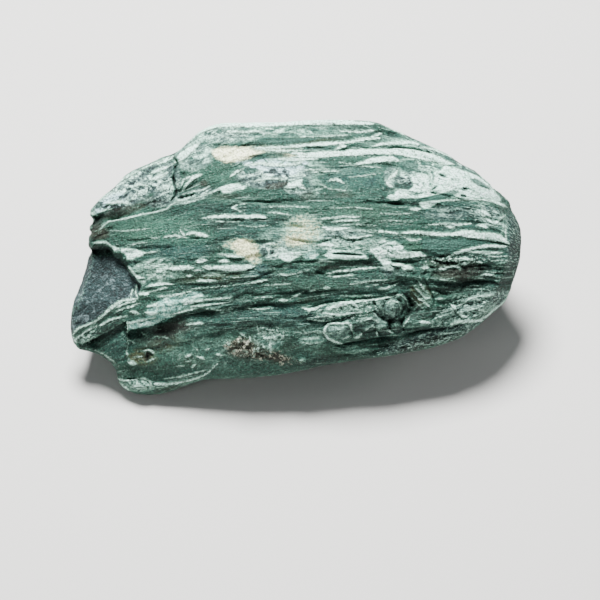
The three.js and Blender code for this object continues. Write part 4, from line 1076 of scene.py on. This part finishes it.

# Soft changes of colour over the face, and patches of painted shade: centre, half sizes, turn as
# seen, strength
tones = {
    "sage": [(160, 180, 20, 20, 10, 0.8), (160, 230, 62, 18, -8, 0.9), (440, 246, 44, 10, 0, 0.6),
             (300, 140, 60, 10, 0, 0.4), (413, 245, 12, 10, 0, 0.7), (375, 212, 50, 14, 0, 0.5),
             (220, 175, 30, 14, 0, 0.6), (120, 350, 20, 26, 20, 0.5)],
    "teal": [(180, 250, 38, 14, 0, 0.5), (360, 178, 46, 14, 0, 0.6), (448, 214, 38, 11, 4, 0.25),
             (258, 274, 14, 5, 0, 0.8), (310, 286, 70, 10, -3, 0.2), (258, 269, 14, 7, 0, 0.6),
             (290, 316, 60, 14, -4, 0.4), (200, 350, 60, 18, -10, 0.1), (310, 345, 36, 14, -4, 0.3),
             (513, 240, 10, 36, 0, 0.9), (120, 345, 20, 22, 20, 0.5)],
    "olive": [(310, 284, 60, 9, -3, 0.4), (405, 181, 8, 8, 0, 1.0), (100, 234, 12, 7, 0, 0.8),
              (360, 216, 40, 14, 0, 0.2), (300, 141, 46, 4, 0, 0.9), (272, 156, 28, 2.5, 0, 0.8),
              (190, 278, 20, 8, 0, 0.7), (452, 264, 34, 6, 0, 0.8), (455, 275, 28, 6, 0, 0.6),
              (420, 296, 14, 12, 50, 0.8), (262, 345, 40, 14, 0, 0.6), (142, 356, 18, 8, 0, 0.7),
              (195, 362, 16, 8, 0, 0.7), (330, 352, 40, 8, -8, 0.5)],
    # brown stains and soil of the rock; under the upper left lobe and along the lower right rim
    # these also stand in as painted shade
    "brown": [(277, 186, 15, 2.6, 16, 0.9), (275, 154.5, 17, 2.6, 3, 0.7),
              (426, 200.5, 9, 1.4, 4, 0.8), (174, 328, 24, 9, 10, 0.9), (147, 357, 5, 6, 0, 0.9),
              (460, 273, 34, 11, 0, 0.8), (122, 212, 26, 6, 14, 1.0), (98, 233, 14, 8, 0, 1.0),
              (152, 203, 18, 8, 0, 0.5), (158, 342, 24, 11, 14, 0.6), (226, 197, 20, 4, 4, 0.6),
              (345, 196, 12, 4, 0, 0.6), (278, 187, 16, 4, 0, 0.6), (308, 195, 10, 8, 0, 0.6),
              (330, 268, 16, 3, 0, 0.6), (355, 263, 26, 3, 0, 0.3), (430, 342, 44, 6, 14, 0.7),
              (225, 273, 32, 4, 0, 0.35), (226, 282, 18, 4, 0, 0.35), (204, 184, 6, 4, 0, 0.8),
              (170, 388, 24, 5, 6, 0.6), (248, 350, 26, 12, 0, 0.8), (96, 224, 8, 6, 0, 0.6)],
    "pale": [(350, 350, 26, 6, -8, 0.5), (312, 340, 18, 11, 0, 0.4), (295, 134, 54, 6, -2, 0.4),
             (205, 350, 80, 22, -8, 0.36), (290, 325, 60, 14, -6, 0.25),
             (118, 196, 36, 12, 34, 0.3), (165, 172, 16, 18, 20, 0.2), (195, 152, 22, 20, 30, 0.9),
             (230, 132, 54, 13, 2, 0.8), (310, 128, 60, 8, -2, 0.35), (280, 165, 50, 9, 0, 0.55),
             (275, 182, 42, 10, 4, 0.25), (310, 188, 14, 12, 0, 0.7), (345, 150, 50, 8, 0, 0.2),
             (405, 152, 56, 12, -14, 0.3), (450, 182, 60, 20, -16, 0.8), (398, 192, 12, 6, 0, 0.4),
             (410, 145, 36, 8, -22, 0.5), (488, 216, 18, 9, -30, 0.5), (503, 224, 5, 12, 0, 0.8),
             (345, 245, 50, 12, 0, 0.65), (300, 240, 44, 20, 0, 0.6), (330, 172, 44, 6, 0, 0.3),
             (150, 270, 26, 11, 20, 1.2), (165, 276, 24, 7, 0, 0.5), (152, 284, 22, 8, 0, 0.4),
             (345, 308, 34, 9, 8, 0.6), (470, 309, 44, 12, 22, 0.6), (430, 322, 34, 5, 8, 0.5),
             (422, 293, 14, 6, -50, 0.7), (178, 306, 30, 9, 12, 0.3), (225, 300, 40, 7, 4, 0.3),
             (340, 331, 17, 11, -6, 0.5), (140, 387, 26, 8, 0, 0.7), (180, 383, 36, 6, 8, 0.4),
             (270, 336, 22, 9, 0, 0.4), (375, 320, 24, 9, 10, 0.4), (83, 334, 20, 7, 34, 0.5),
             (225, 272, 60, 6, 0, 0.4), (505, 300, 10, 10, 0, 0.5)],
    # painted shade: under ledges and lips, in gaps, along the facet's upper strip, the lower right
    # rim and the right end
    "paintedShade": [(402, 186.5, 11, 4, -4, 1.0), (163, 184, 8, 15, 10, 0.25), (101, 250.5, 16, 6, 0, 1.0),
             (518, 245, 12, 64, 0, 0.7), (472, 289, 42, 7, 0, 0.75), (440, 292, 14, 8, 0, 0.4),
             (440, 268, 60, 12, 0, 0.3), (395, 312, 26, 16, 0, 0.4), (410, 306, 12, 14, 0, 0.5),
             (430, 346, 60, 6, 14, 0.6), (350, 357, 60, 5, 8, 0.6), (160, 330, 36, 7, 10, 1.2),
             (158, 336, 28, 5, 8, 0.7), (112, 331, 20, 7, 32, 0.7), (230, 314, 34, 5, 3, 0.25),
             (452, 264, 24, 3, 2, 0.35), (310, 292, 40, 4, 0, 0.3), (97, 220, 9, 5, 0, 1.0),
             (94, 228, 7, 2.4, 0, 0.9), (120, 212, 20, 4, -6, 0.5), (155, 202, 14, 6, 0, 0.4),
             (94, 248, 9, 3, 0, 0.8), (420, 308, 16, 10, 30, 0.5), (395, 320, 16, 5, -10, 0.8),
             (393, 134, 8, 3, -20, 0.35), (268, 305, 24, 3, 0, 0.3), (394, 204, 12, 3, 0, 0.6),
             (464, 274, 34, 11, 0, 0.35), (148, 356, 4, 6, 0, 0.7), (104, 270, 26, 13, 30, 0.6)],
    "massive": [(445, 156, 38, 5.5, -29, 0.9), (424, 146, 12, 5, -25, 0.7),
                (286, 246, 28, 9, 0, 0.6), (338, 236, 34, 12, 0, 0.45), (272, 252, 13, 9, 0, 0.8),
                (158, 202, 16, 7, 0, 0.6), (193, 197, 24, 7, 16, 0.8), (386, 266, 8, 12, 0, 0.5),
                (275, 176, 42, 15, 3, 0.9), (405, 181, 9, 9, 0, 0.6), (390, 178, 8, 14, 0, 0.5),
                (448, 214, 32, 9, 4, 0.35), (128, 190, 44, 18, 32, 1.0), (130, 196, 26, 8, 30, 0.4),
                (165, 180, 18, 24, 10, 0.8), (195, 155, 22, 18, 24, 0.7),
                (228, 133, 30, 12, 2, 0.6), (390, 308, 20, 15, 0, 0.35),
                (375, 322, 26, 10, 10, 0.35), (338, 331, 16, 10, 0, 0.4),
                (398, 274, 14, 10, 0, 0.2), (430, 180, 40, 16, -10, 0.5),
                (490, 217, 18, 12, -30, 0.5), (385, 250, 18, 10, 0, 0.7),
                (505, 300, 14, 12, 0, 0.5), (470, 308, 44, 14, 22, 0.45),
                (430, 338, 60, 8, 16, 0.6), (300, 188, 18, 10, 0, 0.6)],
    "stain": [(247, 250, 15, 12, 0, 0.9), (235, 244, 15, 6, 8, 0.6), (256, 259, 8, 8, 0, 0.6),
              (303, 232, 24, 20, 0, 0.6), (284, 244, 24, 8, 10, 0.35), (275, 150, 40, 5, -2, 0.35)],
    "warm": [(225, 276, 30, 6, 3, 0.8), (275, 270, 14, 5, 0, 0.3), (420, 294, 10, 14, 45, 0.9),
             (163, 345, 22, 9, 16, 0.9), (142, 357, 18, 10, 0, 1.0), (248, 348, 26, 12, 0, 0.7),
             (370, 215, 24, 8, 0, 0.12), (160, 270, 26, 8, 0, 0.6), (300, 300, 24, 5, 0, 0.3)],
    "mint": [(165, 310, 20, 10, 16, 1.0), (180, 301, 26, 8, 14, 0.9), (148, 322, 26, 5, 14, 1.0),
             (215, 302, 22, 5, 6, 0.3), (268, 340, 18, 10, 0, 0.3), (310, 254, 9, 6, 0, 1.0)],
    "pink": [(440, 184, 64, 22, -14, 0.35), (385, 255, 30, 14, 0, 0.4), (182, 268, 18, 6, 0, 0.7),
             (250, 248, 26, 16, 0, 0.5), (300, 121, 110, 3, 0, 0.3), (296, 187, 14, 8, 0, 0.4),
             (182, 160, 14, 14, 0, 0.4), (490, 306, 26, 12, 40, 0.5)],
    "speckle": [(178, 234, 20, 7, 0, 0.25), (215, 134, 34, 10, 0, 0.4), (448, 213, 34, 9, 4, 0.1),
                (160, 270, 22, 10, 0, 0.5), (468, 308, 46, 16, 22, 0.5),
                (488, 216, 24, 12, -20, 0.4), (345, 243, 44, 12, 0, 0.4), (271, 334, 15, 9, 0, 0.7),
                (308, 336, 20, 12, 0, 0.2), (190, 360, 18, 8, 0, 0.2), (430, 146, 28, 9, -22, 0.7),
                (248, 350, 24, 8, 0, 0.6), (345, 310, 40, 12, 6, 0.5), (515, 240, 10, 44, 0, 0.4),
                (85, 338, 14, 8, 20, 0.6), (140, 386, 18, 6, 0, 0.8), (455, 260, 40, 6, 0, 0.6),
                (430, 340, 70, 9, 14, 0.4)],
}

# Fields kept with the mesh, three to each attribute
storedFields = {
    "greens": ("sage", "teal", "olive"), "casts": ("brown", "pale", "stain"),
    "marks": ("paintedShade", "speckle", "hollow"), "palePatches": ("white", "cream", "blueWhite"),
    "darkPatches": ("lens", "slate", "soil"), "kinds": ("back", "massive", "pink"),
    "quiet": ("calm", "warm", "mint"),
}

# How veins, patches and hollows are kept: the layers that veins are spread over, lengths in
# pixels, and the rounds of smoothing that a hollow, which sets painted shade and highlight, is
# measured against
drawing = {
    "veinLayers": 5,
    "veinMargin": 1.9,
    "veinGap": 1.2,
    "noVein": -9.0,
    "patchReach": 8.0,
    "evenRounds": 14,
}


def storeFields(mesh, name, values):
    attribute = mesh.attributes.new(name, "FLOAT_VECTOR", "POINT")
    attribute.data.foreach_set("vector", np.stack(values, 1).astype(np.float32).ravel())


# Spreads the veins over a few layers, so that those in one layer stay clear of each other
def sortVeins():
    layers = [[] for _ in range(drawing["veinLayers"])]
    clear = 2 * drawing["veinMargin"] + drawing["veinGap"]
    for white, lines in veins.values():
        for line in lines:
            points = np.array(line, float)
            steps = np.linspace(0, len(points) - 1, 6 * len(points))
            spots = np.stack([np.interp(steps, range(len(points)), c) for c in points.T], 1)
            room = []
            for layer in layers:
                gaps = [np.hypot(*(spots[:, None, :2] - o[None, :, :2]).transpose(2, 0, 1))
                        - spots[:, None, 2] / 2 - o[None, :, 2] / 2 for _, _, o in layer]
                room.append(min([gap.min() for gap in gaps], default=99))
            enough = [i for i, gap in enumerate(room) if gap > clear]
            layers[enough[0] if enough else int(np.argmax(room))].append((white, line, spots))
    return layers


# Distance from the middle of the nearest vein of a layer, its half width and how white it is
def veinField(lines, px, py, onFace):
    field = np.zeros((3, len(px)))
    across, half, whiteness = field
    half[:] = drawing["noVein"]
    for white, line, _ in lines:
        which = near(line, px, py)
        side, past, values = alongLine(line, px[which], py[which])
        wide = values[:, 0] / 2 - past * 0.5 - 4 * (1 - onFace[which])
        inside = wide - np.abs(side)
        better = (inside > -drawing["veinMargin"]) & (inside > half[which] - np.abs(across[which]))
        chosen = which[better]
        across[chosen], half[chosen], whiteness[chosen] = side[better], wide[better], white
    return field


# How far a place lies inside the nearest patch
def patchField(outlines, px, py, onFace):
    reach = drawing["patchReach"]
    depth = np.full(len(px), -reach)
    for outline in outlines:
        which = near(outline, px, py, reach)
        depth[which] = np.maximum(depth[which], insideBy(outline, px[which], py[which]))
    return depth - reach * (1 - onFace)


def paintStone(piece):
    mesh = piece.data
    points, normals = meshArrays(mesh)
    places = toFace(points)
    layer, px, py, behind = layerInRock(places, normals)
    pixel = face["pixelSize"] / 1000
    storeFields(mesh, "layers", [places[:, 0] / 1000, layer * pixel, behind / 1000])
    onFace = smoothStep(behind, *stone["drawnDepth"])
    for number, lines in enumerate(sortVeins()):
        storeFields(mesh, f"vein{number}", veinField(lines, px, py, onFace))
    fields = {name: patchField(outlines, px, py, onFace) for name, outlines in patches.items()}
    for name, shapes in {**tones, "calm": calmPlaces}.items():
        fields[name] = placeShares(shapes, px, py) * onFace
    fields["back"] = 1 - onFace
    # how deep each place lies in a hollow: it sets the painted shade in hollows and the painted
    # highlight on ridges
    even = relaxed(mesh, points, drawing["evenRounds"])
    fields["hollow"] = ((even - points) * normals).sum(1) * 1000
    # cracks get painted shade too, the more the deeper they are
    for crack in cracks:
        which = near(crack, px, py, 5)
        side, past, values = alongLine(crack, px[which], py[which])
        shade = np.exp(-(side / (values[:, 0] / 2 + 0.3)) ** 2 - (past / 1.5) ** 2)
        shade = np.minimum(shade * values[:, 1] / 6, 1)
        fields["paintedShade"][which] = np.maximum(fields["paintedShade"][which], shade)
    for name, parts in storedFields.items():
        storeFields(mesh, name, [fields[part] for part in parts])
    print("veins and patches are drawn")


boulder = buildStone()
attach(boulder, "root")
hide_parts(stone["node"])
paintStone(boulder)

# Foliated serpentinite, broken along its layers: soft, waxy green rock with a satin face where
# it split, chalky white carbonate in its veins, brown stains and soil, and painted shade in its
# hollows
rock = {
    "colors": {
        "deep": "#0B2821", "green": "#1A3E35", "sage": "#2B5241", "teal": "#153A3D",
        "olive": "#2C3622", "paleGreen": "#7AA893", "grayGreen": "#41665B", "gray": "#5F7874",
        "darkGreen": "#040D0B", "vein": "#CEFFEA", "veinGreen": "#ACD2C0", "pinkWhite": "#FAEAE6",
        "cream": "#F4FBCC", "stain": "#E6E2A8", "warm": "#4A4B2E", "mint": "#73AEA1",
        "calmGreen": "#2C5648", "blueWhite": "#BCE3E8", "slate": "#263A3A",
        "slateDark": "#142021", "paleSlate": "#73898B", "brown": "#22241B", "soil": "#38392C",
        # the last colour is painted shade, for hollows, cracks and under ledges
        "grit": "#A9AC98", "hollow": "#050E0C",
    },
    # Noise that runs with the layers: size along them and across them in mm, detail, roughness
    # and twist. The grain is drawn coarser than the real 0.3 mm, which is too fine to show.
    "patterns": {
        "broad": (120, 30, 2, 0.5, 0), "band": (60, 8, 3, 0.6, 0.3),
        "blotch": (16, 6, 3, 0.6, 0.4), "streak": (18, 2.1, 3, 0.6, 0.2),
        "thread": (7, 1.9, 2, 0.6, 0.3), "hair": (44, 1.7, 1, 0.5, 0.1),
        "swirl": (17, 6.5, 4, 0.62, 1.6), "spots": (3.6, 2.5, 2, 0.65, 0),
        "ragged": (5, 2.4, 3, 0.78, 0.3), "hidden": (70, 6.5, 3, 0.55, 0.3),
    },
    # and noise that doesn't
    "massivePatterns": {
        "grain": (2.2, 2.2, 2, 0.75, 0), "grit": (4.4, 4.4, 2, 0.7, 0.5),
        "mottle": (12, 8, 4, 0.7, 0.8), "cloud": (26, 18, 3, 0.6, 0.6),
    },
    # from where to where each part of a vein comes up, from its edge inwards in pixels; the last is
    # a painted shadow along the vein's lower side
    "veinParts": {"aroundVein": (0.4, 2.9), "veined": (2.6, 3.4), "veinCore": (3.1, 4.1),
                  "veinShadow": (1.3, 2.2)},
    "veinRag": 5.5,  # how far noise moves that edge, in pixels
    # how the grain darkens and lightens the color
    "grainShade": {"From Min": 0.34, "From Max": 0.66, "To Min": 0.4, "To Max": 1.55},
    "roughness": 0.6,
    "grainRoughness": 0.25,
    "ior": 1.56,
    "gloss": 0.25,  # the broken grain hides part of it
    "relief": 0.0022,  # m, of the grain and what is added to it
    "reliefShares": {"streak": 0.7, "spots": 0.9, "veined": 0.25},
}

# Fields made of others: one times a factor, plus another or a number
sums = {
    "blotch9": ("blotch", 9, -7),
    "rag": ("ragged", 5.0, "blotch9"), "paleStreak": ("pale", 0.18, "streak"),
    "paleThread": ("pale", 0.16, "thread"), "paleHair": ("pale", 0.06, "hair"),
    "swirlUp": ("pale", 0.06, "swirl"), "speckled": ("speckle", 0.16, "spots"),
    "pitted": ("speckle", -0.12, "spots"), "stained": ("spots", 1.7, "stain"),
    "slateEdge": ("rag", 0.2, "slate"), "blueEdge": ("rag", 0.9, "blueWhite"),
    "creamEdge": ("rag", 0.9, "cream"), "whiteEdge": ("rag", 0.5, "white"),
    "lensAndCrackShadeEdge": ("rag", 0.25, "lens"), "soilEdge": ("rag", 1.0, "soil"),
}

# Coats of colour, one over the other: the color, how strong it is at most and the fields that
# let it show, each from where it starts to where it is full
coats = [
    ("green", 1.0, [("band", 0.38, 0.58)]),
    ("sage", 0.4, [("broad", 0.35, 0.65)]),
    ("sage", 0.75, [("sage", 0, 1)]),
    ("teal", 0.8, [("teal", 0, 1)]),
    ("olive", 0.75, [("olive", 0, 1)]),
    ("deep", 0.5, [("blotch", 0.5, 0.32)]),
    ("darkGreen", 0.5, [("streak", 0.45, 0.33), ("calm", 1, 0.2)]),
    ("paleGreen", 0.3, [("paleStreak", 0.58, 0.8), ("calm", 1.2, 0.2)]),
    ("paleGreen", 0.2, [("paleThread", 0.57, 0.72)]),
    ("veinGreen", 0.4, [("paleHair", 0.67, 0.72), ("calm", 1, 0.2)]),
    ("calmGreen", 0.7, [("calm", 0.2, 1), ("cloud", 0.32, 0.62)]),
    ("paleGreen", 0.24, [("calm", 0.2, 1), ("mottle", 0.5, 0.7)]),
    ("warm", 0.7, [("warm", 0, 1), ("mottle", 0.4, 0.56)]),
    ("mint", 0.9, [("mint", 0, 0.7), ("mottle", 0.34, 0.48)]),
    ("vein", 0.85, [("mint", 0, 0.7), ("mottle", 0.5, 0.6)]),
    ("vein", 0.6, [("mint", 0, 0.7), ("spots", 0.56, 0.66)]),
    ("grayGreen", 0.5, [("pale", 0.05, 0.7)]),
    ("paleGreen", 0.85, [("pale", 0.05, 0.7), ("swirlUp", 0.46, 0.62)]),
    ("vein", 0.9, [("pale", 0.2, 0.9), ("swirlUp", 0.55, 0.7)]),
    ("gray", 0.85, [("massive", 0.1, 0.8)]),
    ("paleGreen", 0.5, [("massive", 0.1, 0.8), ("cloud", 0.45, 0.62)]),
    ("vein", 0.9, [("massive", 0.1, 0.9), ("mottle", 0.5, 0.6)]),
    ("slate", 0.9, [("massive", 0.1, 0.9), ("mottle", 0.52, 0.45)]),
    ("slateDark", 0.8, [("massive", 0.1, 0.9), ("mottle", 0.48, 0.4)]),
    ("slateDark", 0.9, [("massive", 0.1, 0.9), ("grit", 0.44, 0.35)]),
    ("slateDark", 0.5, [("massive", 0.1, 0.9), ("cloud", 0.47, 0.5), ("cloud", 0.53, 0.5)]),
    ("green", 0.7, [("pale", 0.1, 0.8), ("thread", 0.43, 0.34)]),
    ("green", 0.7, [("pale", 0.1, 0.8), ("grit", 0.44, 0.34)]),
    ("brown", 0.85, [("brown", 0, 0.9), ("spots", 0.26, 0.5)]),
    ("veinGreen", 0.85, [("speckled", 0.6, 0.66), ("speckle", -0.3, 0.8)]),
    ("darkGreen", 0.75, [("pitted", 0.38, 0.31), ("speckle", -0.6, 0.8)]),
    ("slateDark", 1.0, [("slateEdge", -0.8, 1.2)]),
    ("slate", 0.8, [("slateEdge", -0.8, 1.2), ("cloud", 0.36, 0.6)]),
    ("slate", 0.7, [("slateEdge", -0.8, 1.2), ("spots", 0.4, 0.6)]),
    ("paleSlate", 0.5, [("slateEdge", 1.0, 3.0), ("mottle", 0.53, 0.66)]),
    ("paleSlate", 0.4, [("slateEdge", 0.4, 2.4), ("thread", 0.54, 0.68)]),
    ("blueWhite", 0.9, [("blueEdge", -2.0, 3.0), ("mottle", 0.46, 0.56)]),
    ("cream", 0.97, [("creamEdge", -1.0, 4.0), ("spots", 0.26, 0.36)]),
    ("paleGreen", 0.7, [("stained", 0.7, 1.4), ("stain", 0, 0.5)]),
    ("stain", 0.8, [("stained", 1.1, 1.9), ("stain", 0, 0.6)]),
    ("cream", 0.85, [("stained", 1.5, 2.1), ("stain", 0, 0.5)]),
    ("paleGreen", 0.7, [("whiteEdge", -1.0, 0.4)]),
    ("vein", 1.0, [("whiteEdge", 0.0, 1.2), ("spots", 0.28, 0.4)]),
    ("grayGreen", 0.7, [("whiteEdge", 1.5, 5), ("mottle", 0.46, 0.4)]),
    ("green", 0.6, [("whiteEdge", 1.5, 5), ("mottle", 0.535, 0.555), ("mottle", 0.575, 0.555)]),
    ("darkGreen", 0.7, [("whiteEdge", 0.5, 3.5), ("grit", 0.4, 0.34)]),
    ("pinkWhite", 0.6, [("whiteEdge", -0.2, 2.0), ("pink", 0.1, 0.9), ("mottle", 0.54, 0.62)]),
    # dark green of the lenses, and painted shade where they follow cracks
    ("green", 0.85, [("lensAndCrackShadeEdge", -1.0, 0.6)]),
    ("grayGreen", 0.4, [("lensAndCrackShadeEdge", 0.0, 3.0), ("streak", 0.3, 0.6)]),
    ("paleGreen", 0.55, [("aroundVein", 0, 1), ("spots", 0.36, 0.56)]),
    # painted shadow along the lower side of the veins
    ("darkGreen", 0.5, [("veinShadow", 0, 1)]),
    ("veinGreen", 1.0, [("veined", 0, 1), ("spots", 0.24, 0.38)]),
    ("vein", 1.0, [("veinCore", 0, 1), ("blotch", 0.3, 0.44), ("grit", 0.36, 0.48)]),
    ("vein", 0.85, [("hidden", 0.6, 0.68), ("back", 0, 1)]),
    ("soil", 0.9, [("soilEdge", -1.0, 4.0), ("spots", 0.3, 0.5)]),
    ("brown", 0.9, [("soilEdge", -3.0, 3.0), ("cloud", 0.5, 0.6)]),
    ("grit", 0.85, [("soilEdge", -3.0, 3.0), ("grit", 0.53, 0.64)]),
    # painted shade in hollows
    ("hollow", 0.45, [("hollow", 0.3, 2.0)]),
    # painted shade under ledges and lips, in gaps and in cracks
    ("hollow", 0.8, [("paintedShade", 0, 1), ("spots", 0.8, 0.3)]),
    # painted highlight on ridges and edges that stand out
    ("paleGreen", 0.4, [("hollow", -0.5, -1.5), ("grain", 0.4, 0.6)]),
]


# What a coat can go by: the fields kept with the mesh, noise and sums of them
def addFields(nodes):
    fields = {}
    for name, parts in storedFields.items():
        vector = addNode(nodes, "Attribute", attribute_name=name)["Vector"]
        fields.update(zip(parts, addNode(nodes, "SeparateXYZ", {0: vector})))
    layers = addNode(nodes, "Attribute", attribute_name="layers")["Vector"]
    place = addNode(nodes, "TexCoord")["Object"]
    for where, patterns in ((layers, rock["patterns"]), (place, rock["massivePatterns"])):
        for name, (along, across, detail, roughness, twist) in patterns.items():
            perMeter = [1000 / along, 1000 / across, 1000 / along]
            scaled = addNode(nodes, "VectorMath", {0: where, 1: perMeter}, operation="MULTIPLY")[0]
            fields[name] = addNode(nodes, "TexNoise", {
                "Vector": scaled, "Scale": 1, "Detail": detail, "Roughness": roughness,
                "Distortion": twist})[0]
    for name, (field, factor, other) in sums.items():
        terms = {0: fields[field], 1: factor, 2: fields.get(other, other)}
        fields[name] = addNode(nodes, "Math", terms, operation="MULTIPLY_ADD")[0]
    return fields


# The drawn veins, with ragged edges: half width less the distance from the middle, and a painted
# shadow along their lower side
def addVeins(nodes, fields):
    for number in range(drawing["veinLayers"]):
        vector = addNode(nodes, "Attribute", attribute_name=f"vein{number}")["Vector"]
        across, half, white = addNode(nodes, "SeparateXYZ", {0: vector})
        away = addNode(nodes, "Math", {0: across}, operation="ABSOLUTE")[0]
        inside = addNode(nodes, "Math", {0: half, 1: away}, operation="SUBTRACT")[0]
        inside = addNode(nodes, "Math", {0: fields["ragged"], 1: rock["veinRag"], 2: inside},
                         operation="MULTIPLY_ADD")[0]
        # the side below a vein, which gets the painted shadow
        below = addNode(nodes, "MapRange", {"Value": across, "From Min": 0, "From Max": -0.8})[0]
        for name, (start, full) in rock["veinParts"].items():
            where = below if name == "veinShadow" else white
            ends = {"Value": inside, "From Min": start, "From Max": full}
            share = addNode(nodes, "MapRange", ends, interpolation_type="SMOOTHSTEP")[0]
            share = addNode(nodes, "Math", {0: share, 1: where}, operation="MULTIPLY")[0]
            fields[name] = addNode(nodes, "Math", {0: share, 1: fields.get(name, 0)},
                                   operation="MAXIMUM")[0]


def addCoats(nodes, fields):
    colors = {name: toLinear(code) for name, code in rock["colors"].items()}
    color = colors["deep"]
    for name, share, shows in coats:
        for field, start, full in shows:
            ends = {"Value": fields[field], "From Min": start, "From Max": full}
            there = addNode(nodes, "MapRange", ends, interpolation_type="SMOOTHSTEP")[0]
            share = addNode(nodes, "Math", {0: there, 1: share}, operation="MULTIPLY")[0]
        color = addNode(nodes, "Mix", {0: share, 6: color, 7: colors[name]}, data_type="RGBA")[2]
    return color


def finishStone(piece):
    finish = bpy.data.materials.new("split_foliated_serpentinite")
    finish.use_nodes = True
    nodes = finish.node_tree.nodes
    fields = addFields(nodes)
    addVeins(nodes, fields)
    color = addCoats(nodes, fields)
    grain = fields["grain"]
    shade = addNode(nodes, "MapRange", {"Value": grain, **rock["grainShade"]})[0]
    color = addNode(nodes, "Mix", {0: 1.0, 6: color, 7: shade}, data_type="RGBA",
                    blend_type="MULTIPLY", clamp_result=True)[2]
    relief = grain
    for name, share in rock["reliefShares"].items():
        relief = addNode(nodes, "Math", {0: fields[name], 1: share, 2: relief},
                         operation="MULTIPLY_ADD")[0]
    bump = addNode(nodes, "Bump", {"Height": relief, "Distance": rock["relief"],
                                   "Strength": 1.0})[0]
    rough = addNode(nodes, "Math", {0: grain, 1: rock["grainRoughness"], 2: rock["roughness"]},
                    operation="MULTIPLY_ADD")[0]
    shader = nodes["Principled BSDF"]
    shader.inputs["IOR"].default_value = rock["ior"]
    shader.inputs["Specular IOR Level"].default_value = rock["gloss"]
    for socket, value in (("Base Color", color), ("Roughness", rough), ("Normal", bump)):
        finish.node_tree.links.new(value, shader.inputs[socket])
    piece.data.materials.clear()
    piece.data.materials.append(finish)
    print("the stone's finish has", len(coats), "coats")


finishStone(boulder)
